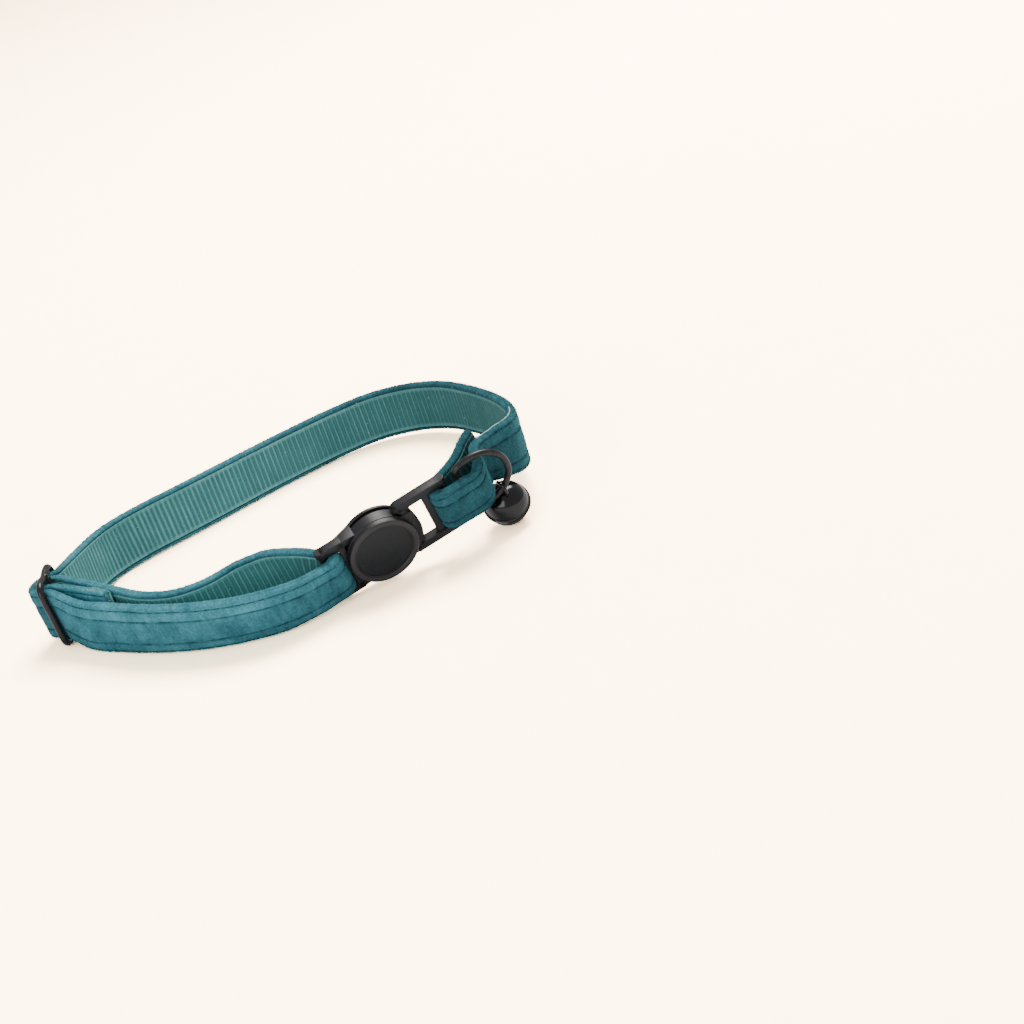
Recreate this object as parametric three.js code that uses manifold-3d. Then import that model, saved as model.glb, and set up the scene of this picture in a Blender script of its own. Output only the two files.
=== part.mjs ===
// Cat collar: a narrow velvet strap lined with ribbed ribbon, threaded through a wire
// adjuster, a round breakaway buckle and a D-ring that carries a small bell.
// Millimetres, +Z up. The collar stands on the edge of its strap as it lies at rest:
// +X to the right, +Y away from the front, origin under the middle of its box.
import * as THREE from 'three';
import Module from 'manifold-3d';
import { mergeVertices } from 'three/addons/utils/BufferGeometryUtils.js';

const wasm = await Module();
wasm.setup();

// loop
const LOOP_LENGTH = 112;
const LOOP_DEPTH = 80;
// strap
const STRAP_WIDTH = 12;
const STRAP_THICKNESS = 2.2;
const RIBBON_WIDTH = 10;
const RIBBON_THICKNESS = 0.7;
const RIBBON_SINK = 0.1;
const FIT_GAP = 0.3;
// adjuster
const SLIDE_WIRE = 1.5;
const SLIDE_CORNER = 2.2;
const SLIDE_SQUEEZE = 0.78;
const SLIDE_LEAN = 4;
const SLIDE_TURN = -93.6;
// buckle
const DISC_DIAMETER = 15;
const DISC_WALL = 1.3;
const DISC_DEPTH = 5.9;
const FACE_RIM = 1.2;
const FACE_SINK = 0.35;
const BACK_PLATE = 0.9;
const PLATE_SLOT = 0.8;
const BAR_DIAMETER = 1.8;
const RAIL_WIDTH = 1.7;
const RAIL_DEPTH = 2.2;
const CROSS_BAR = 1.2;
const CROSS_REACH = 0.1;
const WINDOW = 4;
const BUCKLE_SQUEEZE = 0.82;
const BUCKLE_TURN = 12.3;
const BUCKLE_RISE = 11;
const BUCKLE_LEAN = 17.5;
const BUCKLE_LIFT = 1.08;
// ring and bell
const RING_WIRE = 1.4;
const RING_HEIGHT = 14.2;
const RING_DEPTH = 10.9;
const RING_CORNER = 1.3;
const RING_TILT = 9;
const BELL_DIAMETER = 9.4;
const BELL_WALL = 0.6;
const BELL_RIDGE = 0.35;
const BELL_SLOT = 1.3;
const BELL_LOOP = 3.7;
const BELL_LOOP_WIRE = 0.75;
const PELLET_DIAMETER = 2.8;

const rad = THREE.MathUtils.degToRad;
const V = (x, y, z) => new THREE.Vector3(x, y, z);

// A frame has its origin, along, up (across the strap) and out (away from the neck).
function frame(origin, turn, rise, lean) {
  const along = V(
    Math.cos(rad(rise)) * Math.cos(rad(turn)),
    Math.cos(rad(rise)) * Math.sin(rad(turn)),
    Math.sin(rad(rise)),
  );
  const flat = V(Math.sin(rad(turn)), -Math.cos(rad(turn)), 0);
  const plumb = flat.clone().cross(along);
  const up = plumb.clone().multiplyScalar(Math.cos(rad(lean)));
  up.addScaledVector(flat, Math.sin(rad(lean)));
  const out = along.clone().cross(up);
  return { origin, along, up, out };
}

function at(f, along, up, out) {
  const p = f.origin.clone().addScaledVector(f.along, along);
  return p.addScaledVector(f.up, up).addScaledVector(f.out, out);
}

function matrix(f) {
  return new THREE.Matrix4().makeBasis(f.along, f.up, f.out).setPosition(f.origin);
}

// Geometry helpers
function welded(geometry) {
  geometry.deleteAttribute('normal');
  geometry.deleteAttribute('uv');
  return mergeVertices(geometry, 1e-4);
}

function solid(geometry) {
  const g = welded(geometry.index ? geometry : geometry.clone());
  const mesh = new wasm.Mesh({
    numProp: 3,
    vertProperties: new Float32Array(g.attributes.position.array),
    triVerts: new Uint32Array(g.index.array),
  });
  return new wasm.Manifold(mesh);
}

function geometryOf(manifold) {
  const mesh = manifold.getMesh();
  const g = new THREE.BufferGeometry();
  g.setAttribute('position', new THREE.BufferAttribute(new Float32Array(mesh.vertProperties), 3));
  g.setIndex(new THREE.BufferAttribute(new Uint32Array(mesh.triVerts), 1));
  g.computeVertexNormals();
  return g;
}

function box(x0, x1, y0, y1, z0, z1) {
  const g = new THREE.BoxGeometry(x1 - x0, y1 - y0, z1 - z0);
  g.translate((x0 + x1) / 2, (y0 + y1) / 2, (z0 + z1) / 2);
  return solid(g);
}

function disc(radius, z0, z1, sides = 56) {
  const g = new THREE.CylinderGeometry(radius, radius, z1 - z0, sides);
  g.rotateX(Math.PI / 2);
  g.translate(0, 0, (z0 + z1) / 2);
  return solid(g);
}

function turned(rows, sides = 56) {
  const g = new THREE.LatheGeometry(rows.map(([r, z]) => new THREE.Vector2(r, z)), sides);
  g.rotateX(Math.PI / 2);
  return solid(g);
}

function bar(x, y0, y1, radius) {
  const g = new THREE.CylinderGeometry(radius, radius, y1 - y0, 14);
  g.translate(x, (y0 + y1) / 2, 0);
  return solid(g);
}

// A round wire bent to a closed flat outline.
function wireRing(outline, count, radius, sides = 10) {
  const g = new THREE.TorusGeometry(10, radius, sides, count);
  const points = outline.getSpacedPoints(count).slice(0, count);
  const position = g.attributes.position;
  for (let j = 0; j <= sides; j++) {
    for (let i = 0; i <= count; i++) {
      const p = points[i % count];
      const before = points[(i + count - 1) % count];
      const after = points[(i + 1) % count];
      const side = new THREE.Vector2(after.y - before.y, before.x - after.x).normalize();
      const turn = (j / sides) * Math.PI * 2;
      const reach = Math.cos(turn) * radius;
      position.setXYZ(
        j * (count + 1) + i,
        p.x + side.x * reach,
        p.y + side.y * reach,
        Math.sin(turn) * radius,
      );
    }
  }
  return g;
}

// Placing of the hard pieces
const strapHalf = STRAP_WIDTH / 2;
const barRadius = BAR_DIAMETER / 2;
const wrapRadius = barRadius + FIT_GAP + STRAP_THICKNESS / 2;
const slotWidth = STRAP_THICKNESS + 2 * FIT_GAP;
const discRadius = DISC_DIAMETER / 2;
const railInner = (STRAP_WIDTH * BUCKLE_SQUEEZE) / 2 + FIT_GAP;
const railOuter = railInner + RAIL_WIDTH;
const leftCross = -discRadius - CROSS_REACH;
const leftBar = leftCross - slotWidth - barRadius;
const leftEnd = leftBar - barRadius;
const rightCross = discRadius + WINDOW;
const rightBar = rightCross + CROSS_BAR + slotWidth + barRadius;
const rightEnd = rightBar + barRadius;

const lean = rad(BUCKLE_LEAN);
const discDrop = discRadius * Math.cos(lean) + (DISC_DEPTH / 2) * Math.sin(lean);
const buckle = frame(
  V(LOOP_LENGTH * 0.183, LOOP_DEPTH * -0.3968, discDrop + BUCKLE_LIFT),
  BUCKLE_TURN,
  BUCKLE_RISE,
  BUCKLE_LEAN,
);

const slideRadius = SLIDE_WIRE / 2;
const thin = STRAP_THICKNESS * SLIDE_SQUEEZE;
const layer = thin + FIT_GAP;
const firstWrap = slideRadius + FIT_GAP + thin / 2;
const secondWrap = firstWrap + layer;
const slidePitch = (firstWrap + secondWrap) * 1.03;
const slideHalf = strapHalf + FIT_GAP + slideRadius;
const slideInset = slideRadius * 0.8;
const slide = frame(
  V(LOOP_LENGTH * -0.439, LOOP_DEPTH * -0.136, slideHalf + slideRadius),
  SLIDE_TURN,
  0,
  SLIDE_LEAN,
);

const ringRadius = (RING_HEIGHT - RING_WIRE) / 2;
const ringReach = RING_DEPTH - RING_WIRE;
const ringBarAt = rightBar + barRadius + 2 * FIT_GAP + RING_WIRE + slotWidth * 0.5;
const ring = {
  origin: at(buckle, ringBarAt, 0, 0),
  along: buckle.along.clone().multiplyScalar(Math.cos(rad(RING_TILT))),
  up: buckle.up.clone().multiplyScalar(Math.cos(rad(RING_TILT))),
  out: buckle.out.clone(),
};
ring.along.addScaledVector(buckle.up, Math.sin(rad(RING_TILT)));
ring.up.addScaledVector(buckle.along, -Math.sin(rad(RING_TILT)));

const bellRadius = BELL_DIAMETER / 2;
const hangTurn = rad(-68);
const hang = at(
  ring,
  ringReach - ringRadius + ringRadius * Math.cos(hangTurn),
  ringRadius * Math.sin(hangTurn),
  0,
);
const loopRadius = (BELL_LOOP - BELL_LOOP_WIRE) / 2;
const loopCentre = bellRadius + loopRadius - BELL_LOOP_WIRE * 0.3;
const hangReach = loopCentre + loopRadius - (BELL_LOOP_WIRE + RING_WIRE) / 2 - FIT_GAP * 1.4;
const hangSide = Math.sqrt(hangReach ** 2 - (hang.z - bellRadius) ** 2);
const bellCentre = V(hang.x, hang.y + hangSide, bellRadius);
const bellTop = BELL_DIAMETER + FIT_GAP;

// Strap route: knots in order, with the point, the top's direction, and the shares of
// thickness and width that the cloth keeps there.
const knots = [];

function knot(point, up, thick = 1, wide = 1) {
  knots.push({ point, up: up.clone().normalize(), thick, wide });
}

function wrap(f, x, y, radius, from, to, thick, wide) {
  const steps = Math.max(1, Math.ceil(Math.abs(to - from) / 26));
  for (let i = 0; i <= steps; i++) {
    const turn = rad(from + ((to - from) * i) / steps);
    const p = at(f, x + radius * Math.cos(turn), 0, y + radius * Math.sin(turn));
    knot(p, f.up, thick, wide);
  }
}

// Ground rows: place along and deep as shares of the loop, lift in bell heights,
// the top's tip to the right and away in shares of the height, share of the width.
function ground(rows) {
  for (const [x, y, lift, tipX, tipY, wide, thick = 1] of rows) {
    const up = V(tipX, tipY, 1).normalize();
    const skin = (STRAP_THICKNESS / 2) * thick;
    const stand = strapHalf * wide * up.z + skin * Math.hypot(up.x, up.y);
    knot(V(x * LOOP_LENGTH, y * LOOP_DEPTH, stand + lift * bellTop), up, thick, wide);
  }
}

// Rows on the buckle's frame, from its right bar: along, up and out in shares of the
// ring's depth, the top's tip, share of the width.
function byRing(rows) {
  for (const [along, up, out, tipX, tipY, wide] of rows) {
    const p = at(buckle, rightBar + along * RING_DEPTH, up * RING_DEPTH, out * RING_DEPTH);
    knot(p, V(tipX, tipY, 1), 1, wide);
  }
}

// sewn end, on the neck side of the right bar
byRing([
  [1.05, 0.075, -0.72, 0, 0, 0.9],
  [0.79, 0.06, -0.56, -0.03, -0.05, 0.9],
  [0.45, 0.02, -0.33, -0.08, -0.15, 0.88],
]);
wrap(buckle, rightBar, 0, wrapRadius, 260, 92, 1, BUCKLE_SQUEEZE);
// over the bar of the ring, then inward under its bow and round the right bend
byRing([
  [0.40, 0.0, 0.215, -0.12, -0.33, 0.84],
  [0.53, 0.005, 0.215, -0.12, -0.33, 0.8],
  [0.645, 0.02, 0.17, -0.12, -0.33, 0.78],
  [0.73, 0.04, 0.07, -0.12, -0.32, 0.77],
  [0.79, 0.075, -0.07, -0.10, -0.29, 0.76],
  [0.87, 0.135, -0.27, -0.06, -0.20, 0.79],
]);
ground([
  [0.431, -0.257, 1.05, 0, 0.02, 0.92],
  [0.461, -0.212, 0.92, 0, 0.05, 0.98],
  [0.476, -0.125, 0.72, 0, 0.05, 1],
  [0.477, -0.020, 0.53, 0, 0.02, 1],
  [0.468, 0.100, 0.36, 0, 0, 1],
  [0.445, 0.220, 0.24, 0, 0, 1],
  [0.410, 0.335, 0.16, 0, 0, 1],
  [0.360, 0.438, 0.13, 0, 0, 1],
  [0.292, 0.508, 0.10, 0, 0, 1],
  [0.212, 0.536, 0.07, 0, 0, 1],
  [0.130, 0.518, 0.035, 0, 0, 1],
  [0.045, 0.474, 0.01, 0, 0.02, 1],
  [-0.045, 0.414, 0, 0, 0.04, 1],
  [-0.130, 0.347, 0, 0, 0.08, 1],
  [-0.215, 0.282, 0, 0, 0.12, 1],
  [-0.300, 0.218, 0, 0, 0.14, 1],
  [-0.362, 0.147, 0, 0, 0.12, 1],
]);

// through the adjuster: inside the far bar, over the middle, inside the near bar
const spanIn = Math.hypot(slidePitch, slideInset);
const tiltIn = THREE.MathUtils.radToDeg(Math.atan2(-slideInset, slidePitch));
const cross = THREE.MathUtils.radToDeg(Math.asin((firstWrap + secondWrap) / spanIn));
const rise = tiltIn + cross;
const fall = -tiltIn - cross;
wrap(slide, -slidePitch, 0, firstWrap, -58, rise - 90, SLIDE_SQUEEZE, 0.96);
wrap(slide, 0, -slideInset, secondWrap, rise + 90, fall + 90, SLIDE_SQUEEZE, 0.96);
wrap(slide, slidePitch, 0, firstWrap, fall - 90, -128, SLIDE_SQUEEZE, 0.96);
// front layer
ground([
  [-0.3820, -0.262, 0, 0, -0.05, 1, 0.85],
  [-0.3200, -0.333, 0, 0, -0.12, 1],
  [-0.2600, -0.393, 0, 0, -0.18, 1],
  [-0.1900, -0.448, 0, 0, -0.25, 1],
  [-0.1300, -0.482, 0, 0, -0.31, 1],
  [-0.0750, -0.501, 0, 0, -0.36, 1],
  [-0.0200, -0.505, 0, 0, -0.36, 0.98],
  [0.0350, -0.488, 0.05, -0.04, -0.35, 0.88],
]);
wrap(buckle, leftBar, 0, wrapRadius, 92, -100, 1, BUCKLE_SQUEEZE);
// back to the adjuster behind the front layer
ground([
  [0.0380, -0.390, 0.33, -0.09, -0.24, 0.88],
  [-0.0150, -0.362, 0.24, -0.05, -0.10, 0.97],
  [-0.0700, -0.364, 0.15, 0, 0, 1],
  [-0.1300, -0.387, 0.07, 0, -0.04, 1],
  [-0.1900, -0.385, 0.03, 0, -0.06, 1],
  [-0.2500, -0.343, 0.03, 0, -0.06, 1],
  [-0.3150, -0.254, 0.05, 0, -0.06, 1],
  [-0.3640, -0.188, 0.10, 0, -0.03, 1, 0.85],
  [-0.3920, -0.152, 0.12, 0, 0, 1, 0.8],
]);
wrap(slide, 0, -slideInset, firstWrap, 216, fall + 90, SLIDE_SQUEEZE, 0.96);
wrap(slide, slidePitch, 0, secondWrap, fall - 90, -128, SLIDE_SQUEEZE, 0.96);
// folded end of the strap, between the two layers
ground([
  [-0.3690, -0.226, 0.12, 0, -0.05, 1, 0.8],
  [-0.3150, -0.299, 0.14, 0, -0.08, 1, 0.85],
]);

const curve = new THREE.CatmullRomCurve3(knots.map((k) => k.point), false, 'centripetal');

// Stations: every knot, and points between knots that lie far apart.
const LONGEST_STEP = 4.2;
const stations = [];
for (let i = 0; i < knots.length; i++) {
  const a = knots[i];
  const b = knots[Math.min(i + 1, knots.length - 1)];
  const steps = i === knots.length - 1
    ? 1
    : Math.max(1, Math.ceil(a.point.distanceTo(b.point) / LONGEST_STEP));
  for (let s = 0; s < steps; s++) {
    const f = s / steps;
    const u = Math.min((i + f) / (knots.length - 1), 1);
    const point = curve.getPoint(u);
    const along = curve.getTangent(u);
    const up = a.up.clone().lerp(b.up, f);
    up.addScaledVector(along, -up.dot(along)).normalize();
    stations.push({
      point,
      up,
      out: along.clone().cross(up).normalize(),
      thick: THREE.MathUtils.lerp(a.thick, b.thick, f),
      wide: THREE.MathUtils.lerp(a.wide, b.wide, f),
    });
  }
}

// A section swept along the stations.
function swept(section, first, last) {
  const run = stations.slice(first, last);
  const shape = new THREE.Shape(section.map(([x, y]) => new THREE.Vector2(x, y)));
  const g = new THREE.ExtrudeGeometry(shape, {
    depth: run.length - 1,
    steps: run.length - 1,
    bevelEnabled: false,
  });
  const position = g.attributes.position;
  for (let i = 0; i < position.count; i++) {
    const s = run[Math.round(position.getZ(i))];
    const p = s.point.clone();
    p.addScaledVector(s.up, position.getX(i) * s.wide);
    p.addScaledVector(s.out, position.getY(i) * s.thick);
    position.setXYZ(i, p.x, p.y, p.z);
  }
  const out = welded(g);
  out.computeVertexNormals();
  return out;
}

const skinHalf = STRAP_THICKNESS / 2;
const ribbonHalf = RIBBON_WIDTH / 2;
const ribbonBack = -skinHalf + RIBBON_SINK;
const ribbonFront = ribbonBack + RIBBON_THICKNESS;
const bed = ribbonFront + FIT_GAP;
const lip = ribbonHalf + FIT_GAP;
const round = STRAP_THICKNESS * 0.2;
const velvetSection = [
  [-strapHalf + round * 0.4, -skinHalf],
  [-lip, -skinHalf],
  [-lip, bed],
  [lip, bed],
  [lip, -skinHalf],
  [strapHalf - round * 0.4, -skinHalf],
  [strapHalf, -skinHalf + round],
  [strapHalf, skinHalf - round],
  [strapHalf - round, skinHalf],
  [-strapHalf + round, skinHalf],
  [-strapHalf, skinHalf - round],
  [-strapHalf, -skinHalf + round],
];
const ribbonSection = [
  [-ribbonHalf, ribbonBack],
  [ribbonHalf, ribbonBack],
  [ribbonHalf, ribbonFront],
  [-ribbonHalf, ribbonFront],
];

// Adjuster: a wire frame with a waist at its middle bar
const waist = slideRadius * 0.7;
const slideOutline = new THREE.Path();
const sl = slidePitch;
const sh = slideHalf;
const sc = SLIDE_CORNER;
slideOutline.moveTo(sl, -sh + sc);
slideOutline.lineTo(sl, sh - sc);
slideOutline.absarc(sl - sc, sh - sc, sc, 0, Math.PI / 2, false);
slideOutline.quadraticCurveTo(sl * 0.25, sh, 0, sh - waist * 0.5);
slideOutline.quadraticCurveTo(-sl * 0.25, sh, -sl + sc, sh);
slideOutline.absarc(-sl + sc, sh - sc, sc, Math.PI / 2, Math.PI, false);
slideOutline.lineTo(-sl, -sh + sc);
slideOutline.absarc(-sl + sc, -sh + sc, sc, Math.PI, Math.PI * 1.5, false);
slideOutline.quadraticCurveTo(-sl * 0.25, -sh, 0, -sh + waist * 0.5);
slideOutline.quadraticCurveTo(sl * 0.25, -sh, sl - sc, -sh);
slideOutline.absarc(sl - sc, -sh + sc, sc, Math.PI * 1.5, Math.PI * 2, false);
const middleBar = new THREE.CylinderGeometry(slideRadius, slideRadius, 2 * sh - waist, 10);
middleBar.translate(0, 0, -slideInset);
const slideSolid = solid(wireRing(slideOutline, 60, slideRadius)).add(solid(middleBar));

// Breakaway buckle, socket half: a round cup with a plate behind and a slotted end
const front = DISC_DEPTH / 2;
const plateTop = -front + BACK_PLATE;
const cupBack = plateTop + PLATE_SLOT;
const pocketTop = front - FACE_SINK - DISC_WALL * 0.75;
const pocketRadius = discRadius - DISC_WALL;
const faceRadius = discRadius - FACE_RIM;
const railHalf = RAIL_DEPTH / 2;
const edge = 0.3;
const cup = turned([
  [0, pocketTop],
  [pocketRadius, pocketTop],
  [pocketRadius, cupBack],
  [discRadius, cupBack],
  [discRadius, front - 2 * edge],
  [discRadius - edge, front - edge * 0.5],
  [discRadius - 2 * edge, front],
  [faceRadius + edge * 0.6, front],
  [faceRadius, front - FACE_SINK],
  [0, front - FACE_SINK],
  [0, pocketTop],
]);
const neckHalf = railInner - 2 * FIT_GAP;
const mouth = box(discRadius * 0.4, discRadius + 1, -neckHalf, neckHalf, cupBack - 1, pocketTop);
const plate = turned([
  [0, -front],
  [discRadius - edge, -front],
  [discRadius, -front + edge],
  [discRadius, plateTop],
  [0, plateTop],
  [0, -front],
]);
const bridge = disc(discRadius, plateTop - 0.1, cupBack + 0.1)
  .intersect(box(-discRadius - 1, -discRadius * 0.62, -discRadius, discRadius, -front, front))
  .subtract(disc(pocketRadius, plateTop, cupBack + 1));
let socket = cup.subtract(mouth).add(plate).add(bridge);
const crossInner = -Math.sqrt(discRadius ** 2 - (discRadius - DISC_WALL) ** 2) - DISC_WALL;
socket = socket.add(box(leftCross, leftCross + CROSS_BAR, -railOuter, railOuter, -railHalf, railHalf));
for (const side of [-1, 1]) {
  const y0 = Math.min(side * railInner, side * railOuter);
  const y1 = Math.max(side * railInner, side * railOuter);
  socket = socket.add(box(leftBar, leftCross + 1, y0, y1, -railHalf, railHalf));
  socket = socket.add(bar(leftBar, y0, y1, railHalf));
  const block = box(leftCross + edge, crossInner, y0, y1, -front + edge, railHalf + 2 * edge);
  socket = socket.add(block.subtract(disc(pocketRadius, -front, front)));
}
socket = socket.add(bar(leftBar, -railInner - 0.4, railInner + 0.4, barRadius));

// Breakaway buckle, plug half: a tongue in the cup, a yoke round it and a slotted end
const tongueBack = cupBack + FIT_GAP;
const tongueFront = pocketTop - FIT_GAP;
const yokeRadius = discRadius + FIT_GAP;
const yoke = disc(yokeRadius + RAIL_WIDTH * 0.8, -railHalf, railHalf)
  .intersect(box(discRadius * 0.5, discRadius * 2, -railOuter, railOuter, -railHalf, railHalf));
let plug = yoke;
for (const side of [-1, 1]) {
  const y0 = Math.min(side * railInner, side * railOuter);
  const y1 = Math.max(side * railInner, side * railOuter);
  plug = plug.add(box(discRadius * 0.5, rightBar, y0, y1, -railHalf, railHalf));
  plug = plug.add(bar(rightBar, y0, y1, railHalf));
}
plug = plug.subtract(disc(yokeRadius, -front * 2, front * 2));
const tongue = disc(pocketRadius - FIT_GAP, tongueBack, tongueFront);
const neck = box(0, yokeRadius + 1, -neckHalf + FIT_GAP, neckHalf - FIT_GAP, tongueBack, tongueFront);
plug = plug.add(tongue).add(neck);
plug = plug.add(box(rightCross, rightCross + CROSS_BAR, -railInner - 0.4, railInner + 0.4, -barRadius, barRadius));
plug = plug.add(bar(rightBar, -railInner - 0.4, railInner + 0.4, barRadius));

// D-ring
const ringOutline = new THREE.Path();
const rc = RING_CORNER;
ringOutline.moveTo(ringReach - ringRadius, -ringRadius);
ringOutline.absarc(ringReach - ringRadius, 0, ringRadius, -Math.PI / 2, Math.PI / 2, false);
ringOutline.lineTo(rc, ringRadius);
ringOutline.absarc(rc, ringRadius - rc, rc, Math.PI / 2, Math.PI, false);
ringOutline.lineTo(0, -ringRadius + rc);
ringOutline.absarc(rc, -ringRadius + rc, rc, Math.PI, Math.PI * 1.5, false);
const ringGeometry = welded(wireRing(ringOutline, 48, RING_WIRE / 2));
ringGeometry.computeVertexNormals();

// Bell: a hollow ball with a ridge, crossed slots under it and a wire loop on top
const hollow = bellRadius - BELL_WALL;
const ball = new THREE.SphereGeometry(bellRadius, 28, 16);
const inside = new THREE.SphereGeometry(hollow, 24, 14);
const ridge = turned([
  [hollow + BELL_WALL * 0.4, -BELL_RIDGE],
  [bellRadius + BELL_RIDGE * 0.5, -BELL_RIDGE],
  [bellRadius + BELL_RIDGE, 0],
  [bellRadius + BELL_RIDGE * 0.5, BELL_RIDGE],
  [hollow + BELL_WALL * 0.4, BELL_RIDGE],
  [hollow + BELL_WALL * 0.4, -BELL_RIDGE],
], 28);
const slotHalf = BELL_SLOT / 2;
const slotReach = bellRadius * 0.8;
const slotA = box(-slotReach, slotReach, -slotHalf, slotHalf, -bellRadius - 1, -bellRadius * 0.3);
const slotB = box(-slotHalf, slotHalf, -slotReach, slotReach, -bellRadius - 1, -bellRadius * 0.3);
const loop = new THREE.TorusGeometry(loopRadius, BELL_LOOP_WIRE / 2, 8, 20);
loop.rotateX(Math.PI / 2);
loop.translate(0, 0, loopCentre);
const bellSolid = solid(ball).add(ridge).add(solid(loop)).subtract(solid(inside))
  .subtract(slotA).subtract(slotB);
const bellUp = hang.clone().sub(bellCentre).normalize();
const wireWay = ring.along.clone().multiplyScalar(-Math.sin(hangTurn));
wireWay.addScaledVector(ring.up, Math.cos(hangTurn));
const loopWay = wireWay.addScaledVector(bellUp, -wireWay.dot(bellUp)).normalize();
const bellFrame = {
  origin: bellCentre,
  along: loopWay.clone().cross(bellUp),
  up: loopWay,
  out: bellUp,
};
const pellet = new THREE.SphereGeometry(PELLET_DIAMETER / 2, 12, 8);
pellet.translate(0, 0, -(hollow * 0.985 - FIT_GAP - PELLET_DIAMETER / 2));

// Materials
const paint = (color, roughness, metalness) => (
  new THREE.MeshStandardMaterial({ color, roughness, metalness })
);
const velvet = paint(0x2f7480, 0.95, 0);
const grosgrain = paint(0x357a76, 0.85, 0);
const blackWire = paint(0x2e2b2c, 0.45, 0.6);
const blackPlastic = paint(0x2b2a2b, 0.5, 0);
const blackGloss = paint(0x151315, 0.18, 0.8);
const steel = paint(0x8d8d8a, 0.35, 0.9);

const collar = new THREE.Group();

function part(name, geometry, material, placing) {
  const mesh = new THREE.Mesh(geometry, material);
  mesh.name = name;
  if (placing) mesh.applyMatrix4(placing);
  collar.add(mesh);
  return mesh;
}

const whole = stations.length;
part('strap_velvet', swept(velvetSection, 0, whole), velvet);
part('strap_ribbon', swept(ribbonSection, 0, whole), grosgrain);
const slideFrame = { origin: slide.origin, along: slide.along, up: slide.up, out: slide.out };
part('adjuster_slide', geometryOf(slideSolid), blackWire, matrix(slideFrame));
part('buckle_socket', geometryOf(socket), blackPlastic, matrix(buckle));
part('buckle_plug', geometryOf(plug), blackPlastic, matrix(buckle));
part('d_ring', ringGeometry, blackWire, matrix(ring));
part('bell_shell', geometryOf(bellSolid), blackGloss, matrix(bellFrame));
const pelletMesh = part('bell_pellet', pellet, steel);
pelletMesh.position.copy(bellCentre);

// The origin goes under the middle of the collar's box.
const bounds = new THREE.Box3().setFromObject(collar, true);
const middle = bounds.getCenter(V(0, 0, 0));
collar.position.set(-middle.x, -middle.y, -bounds.min.z);
collar.updateMatrixWorld(true);

export default collar;
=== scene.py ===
# Cat collar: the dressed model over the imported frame, with camera, floor and studio light.
import math
import random

import bmesh
import bpy
import numpy as np
from mathutils import Matrix, Vector, noise


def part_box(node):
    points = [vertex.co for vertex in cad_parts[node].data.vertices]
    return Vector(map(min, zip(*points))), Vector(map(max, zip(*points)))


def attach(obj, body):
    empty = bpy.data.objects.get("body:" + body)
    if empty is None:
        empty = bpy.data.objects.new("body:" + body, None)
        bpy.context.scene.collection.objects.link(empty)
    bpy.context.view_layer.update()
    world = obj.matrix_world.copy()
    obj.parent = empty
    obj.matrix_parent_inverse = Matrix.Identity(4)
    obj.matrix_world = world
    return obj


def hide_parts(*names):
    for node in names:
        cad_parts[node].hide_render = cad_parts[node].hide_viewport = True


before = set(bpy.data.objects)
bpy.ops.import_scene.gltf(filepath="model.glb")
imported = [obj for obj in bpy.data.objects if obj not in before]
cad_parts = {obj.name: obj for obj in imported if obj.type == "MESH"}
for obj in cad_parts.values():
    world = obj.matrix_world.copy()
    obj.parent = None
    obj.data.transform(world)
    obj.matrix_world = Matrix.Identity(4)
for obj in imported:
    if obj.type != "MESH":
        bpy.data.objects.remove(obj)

scene = bpy.context.scene
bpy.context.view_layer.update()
MM = 0.001
rad = math.radians


# Camera at the photograph's angle: 25 degrees up, rolled so that the collar climbs to the right.
camera_data = bpy.data.cameras.new("camera")
camera_data.lens = 66.8
camera_data.sensor_width = 36
camera_data.clip_start = 0.01
camera_data.clip_end = 30
camera = bpy.data.objects.new("camera", camera_data)
scene.collection.objects.link(camera)
camera_right = Vector((0.9563, -0.1236, -0.2650))
camera_top = Vector((0.2924, 0.4041, 0.8667))
camera_back = camera_right.cross(camera_top)
camera_turn = Matrix((camera_right, camera_top, camera_back)).transposed().to_4x4()
camera.matrix_world = Matrix.Translation(Vector((0.04703, -0.37584, 0.16773))) @ camera_turn
scene.camera = camera


# Sizes in millimetres, as in the part's source
LOOP_LENGTH = 112
LOOP_DEPTH = 80
STRAP_WIDTH = 12
STRAP_THICKNESS = 2.2
RIBBON_WIDTH = 10
FIT_GAP = 0.3
SLIDE_WIRE = 1.5
SLIDE_CORNER = 2.2
SLIDE_SQUEEZE = 0.78
SLIDE_TURN = -93.6
SLIDE_LEAN = 4
DISC_DIAMETER = 15
DISC_WALL = 1.3
DISC_DEPTH = 5.9
FACE_RIM = 1.2
FACE_SINK = 0.35
BACK_PLATE = 0.9
PLATE_SLOT = 0.8
BAR_DIAMETER = 1.8
RAIL_WIDTH = 1.7
RAIL_DEPTH = 2.2
CROSS_BAR = 1.2
CROSS_REACH = 0.1
WINDOW = 4
BUCKLE_SQUEEZE = 0.82
BUCKLE_TURN = 12.3
BUCKLE_RISE = 11
BUCKLE_LEAN = 17.5
BUCKLE_LIFT = 1.08
RING_WIRE = 1.4
RING_HEIGHT = 14.2
RING_DEPTH = 10.9
RING_CORNER = 1.3
RING_TILT = 9
BELL_DIAMETER = 9.4
BELL_WALL = 0.6
BELL_RIDGE = 0.35
BELL_SLOT = 1.3
BELL_LOOP = 3.7
BELL_LOOP_WIRE = 0.75
PELLET_DIAMETER = 2.8

# Counts and steps of the cloth's detail
STITCH = 2.1
RIB_PITCH = 1.22
SELVEDGE = 0.32
FINE = 0.1
VELVET_STEP = 0.40
RIM_HAIRS = 15000
FACE_HAIRS = 9000
LINT_FIBRES = 92
FRAYED_ENDS = 70


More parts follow.
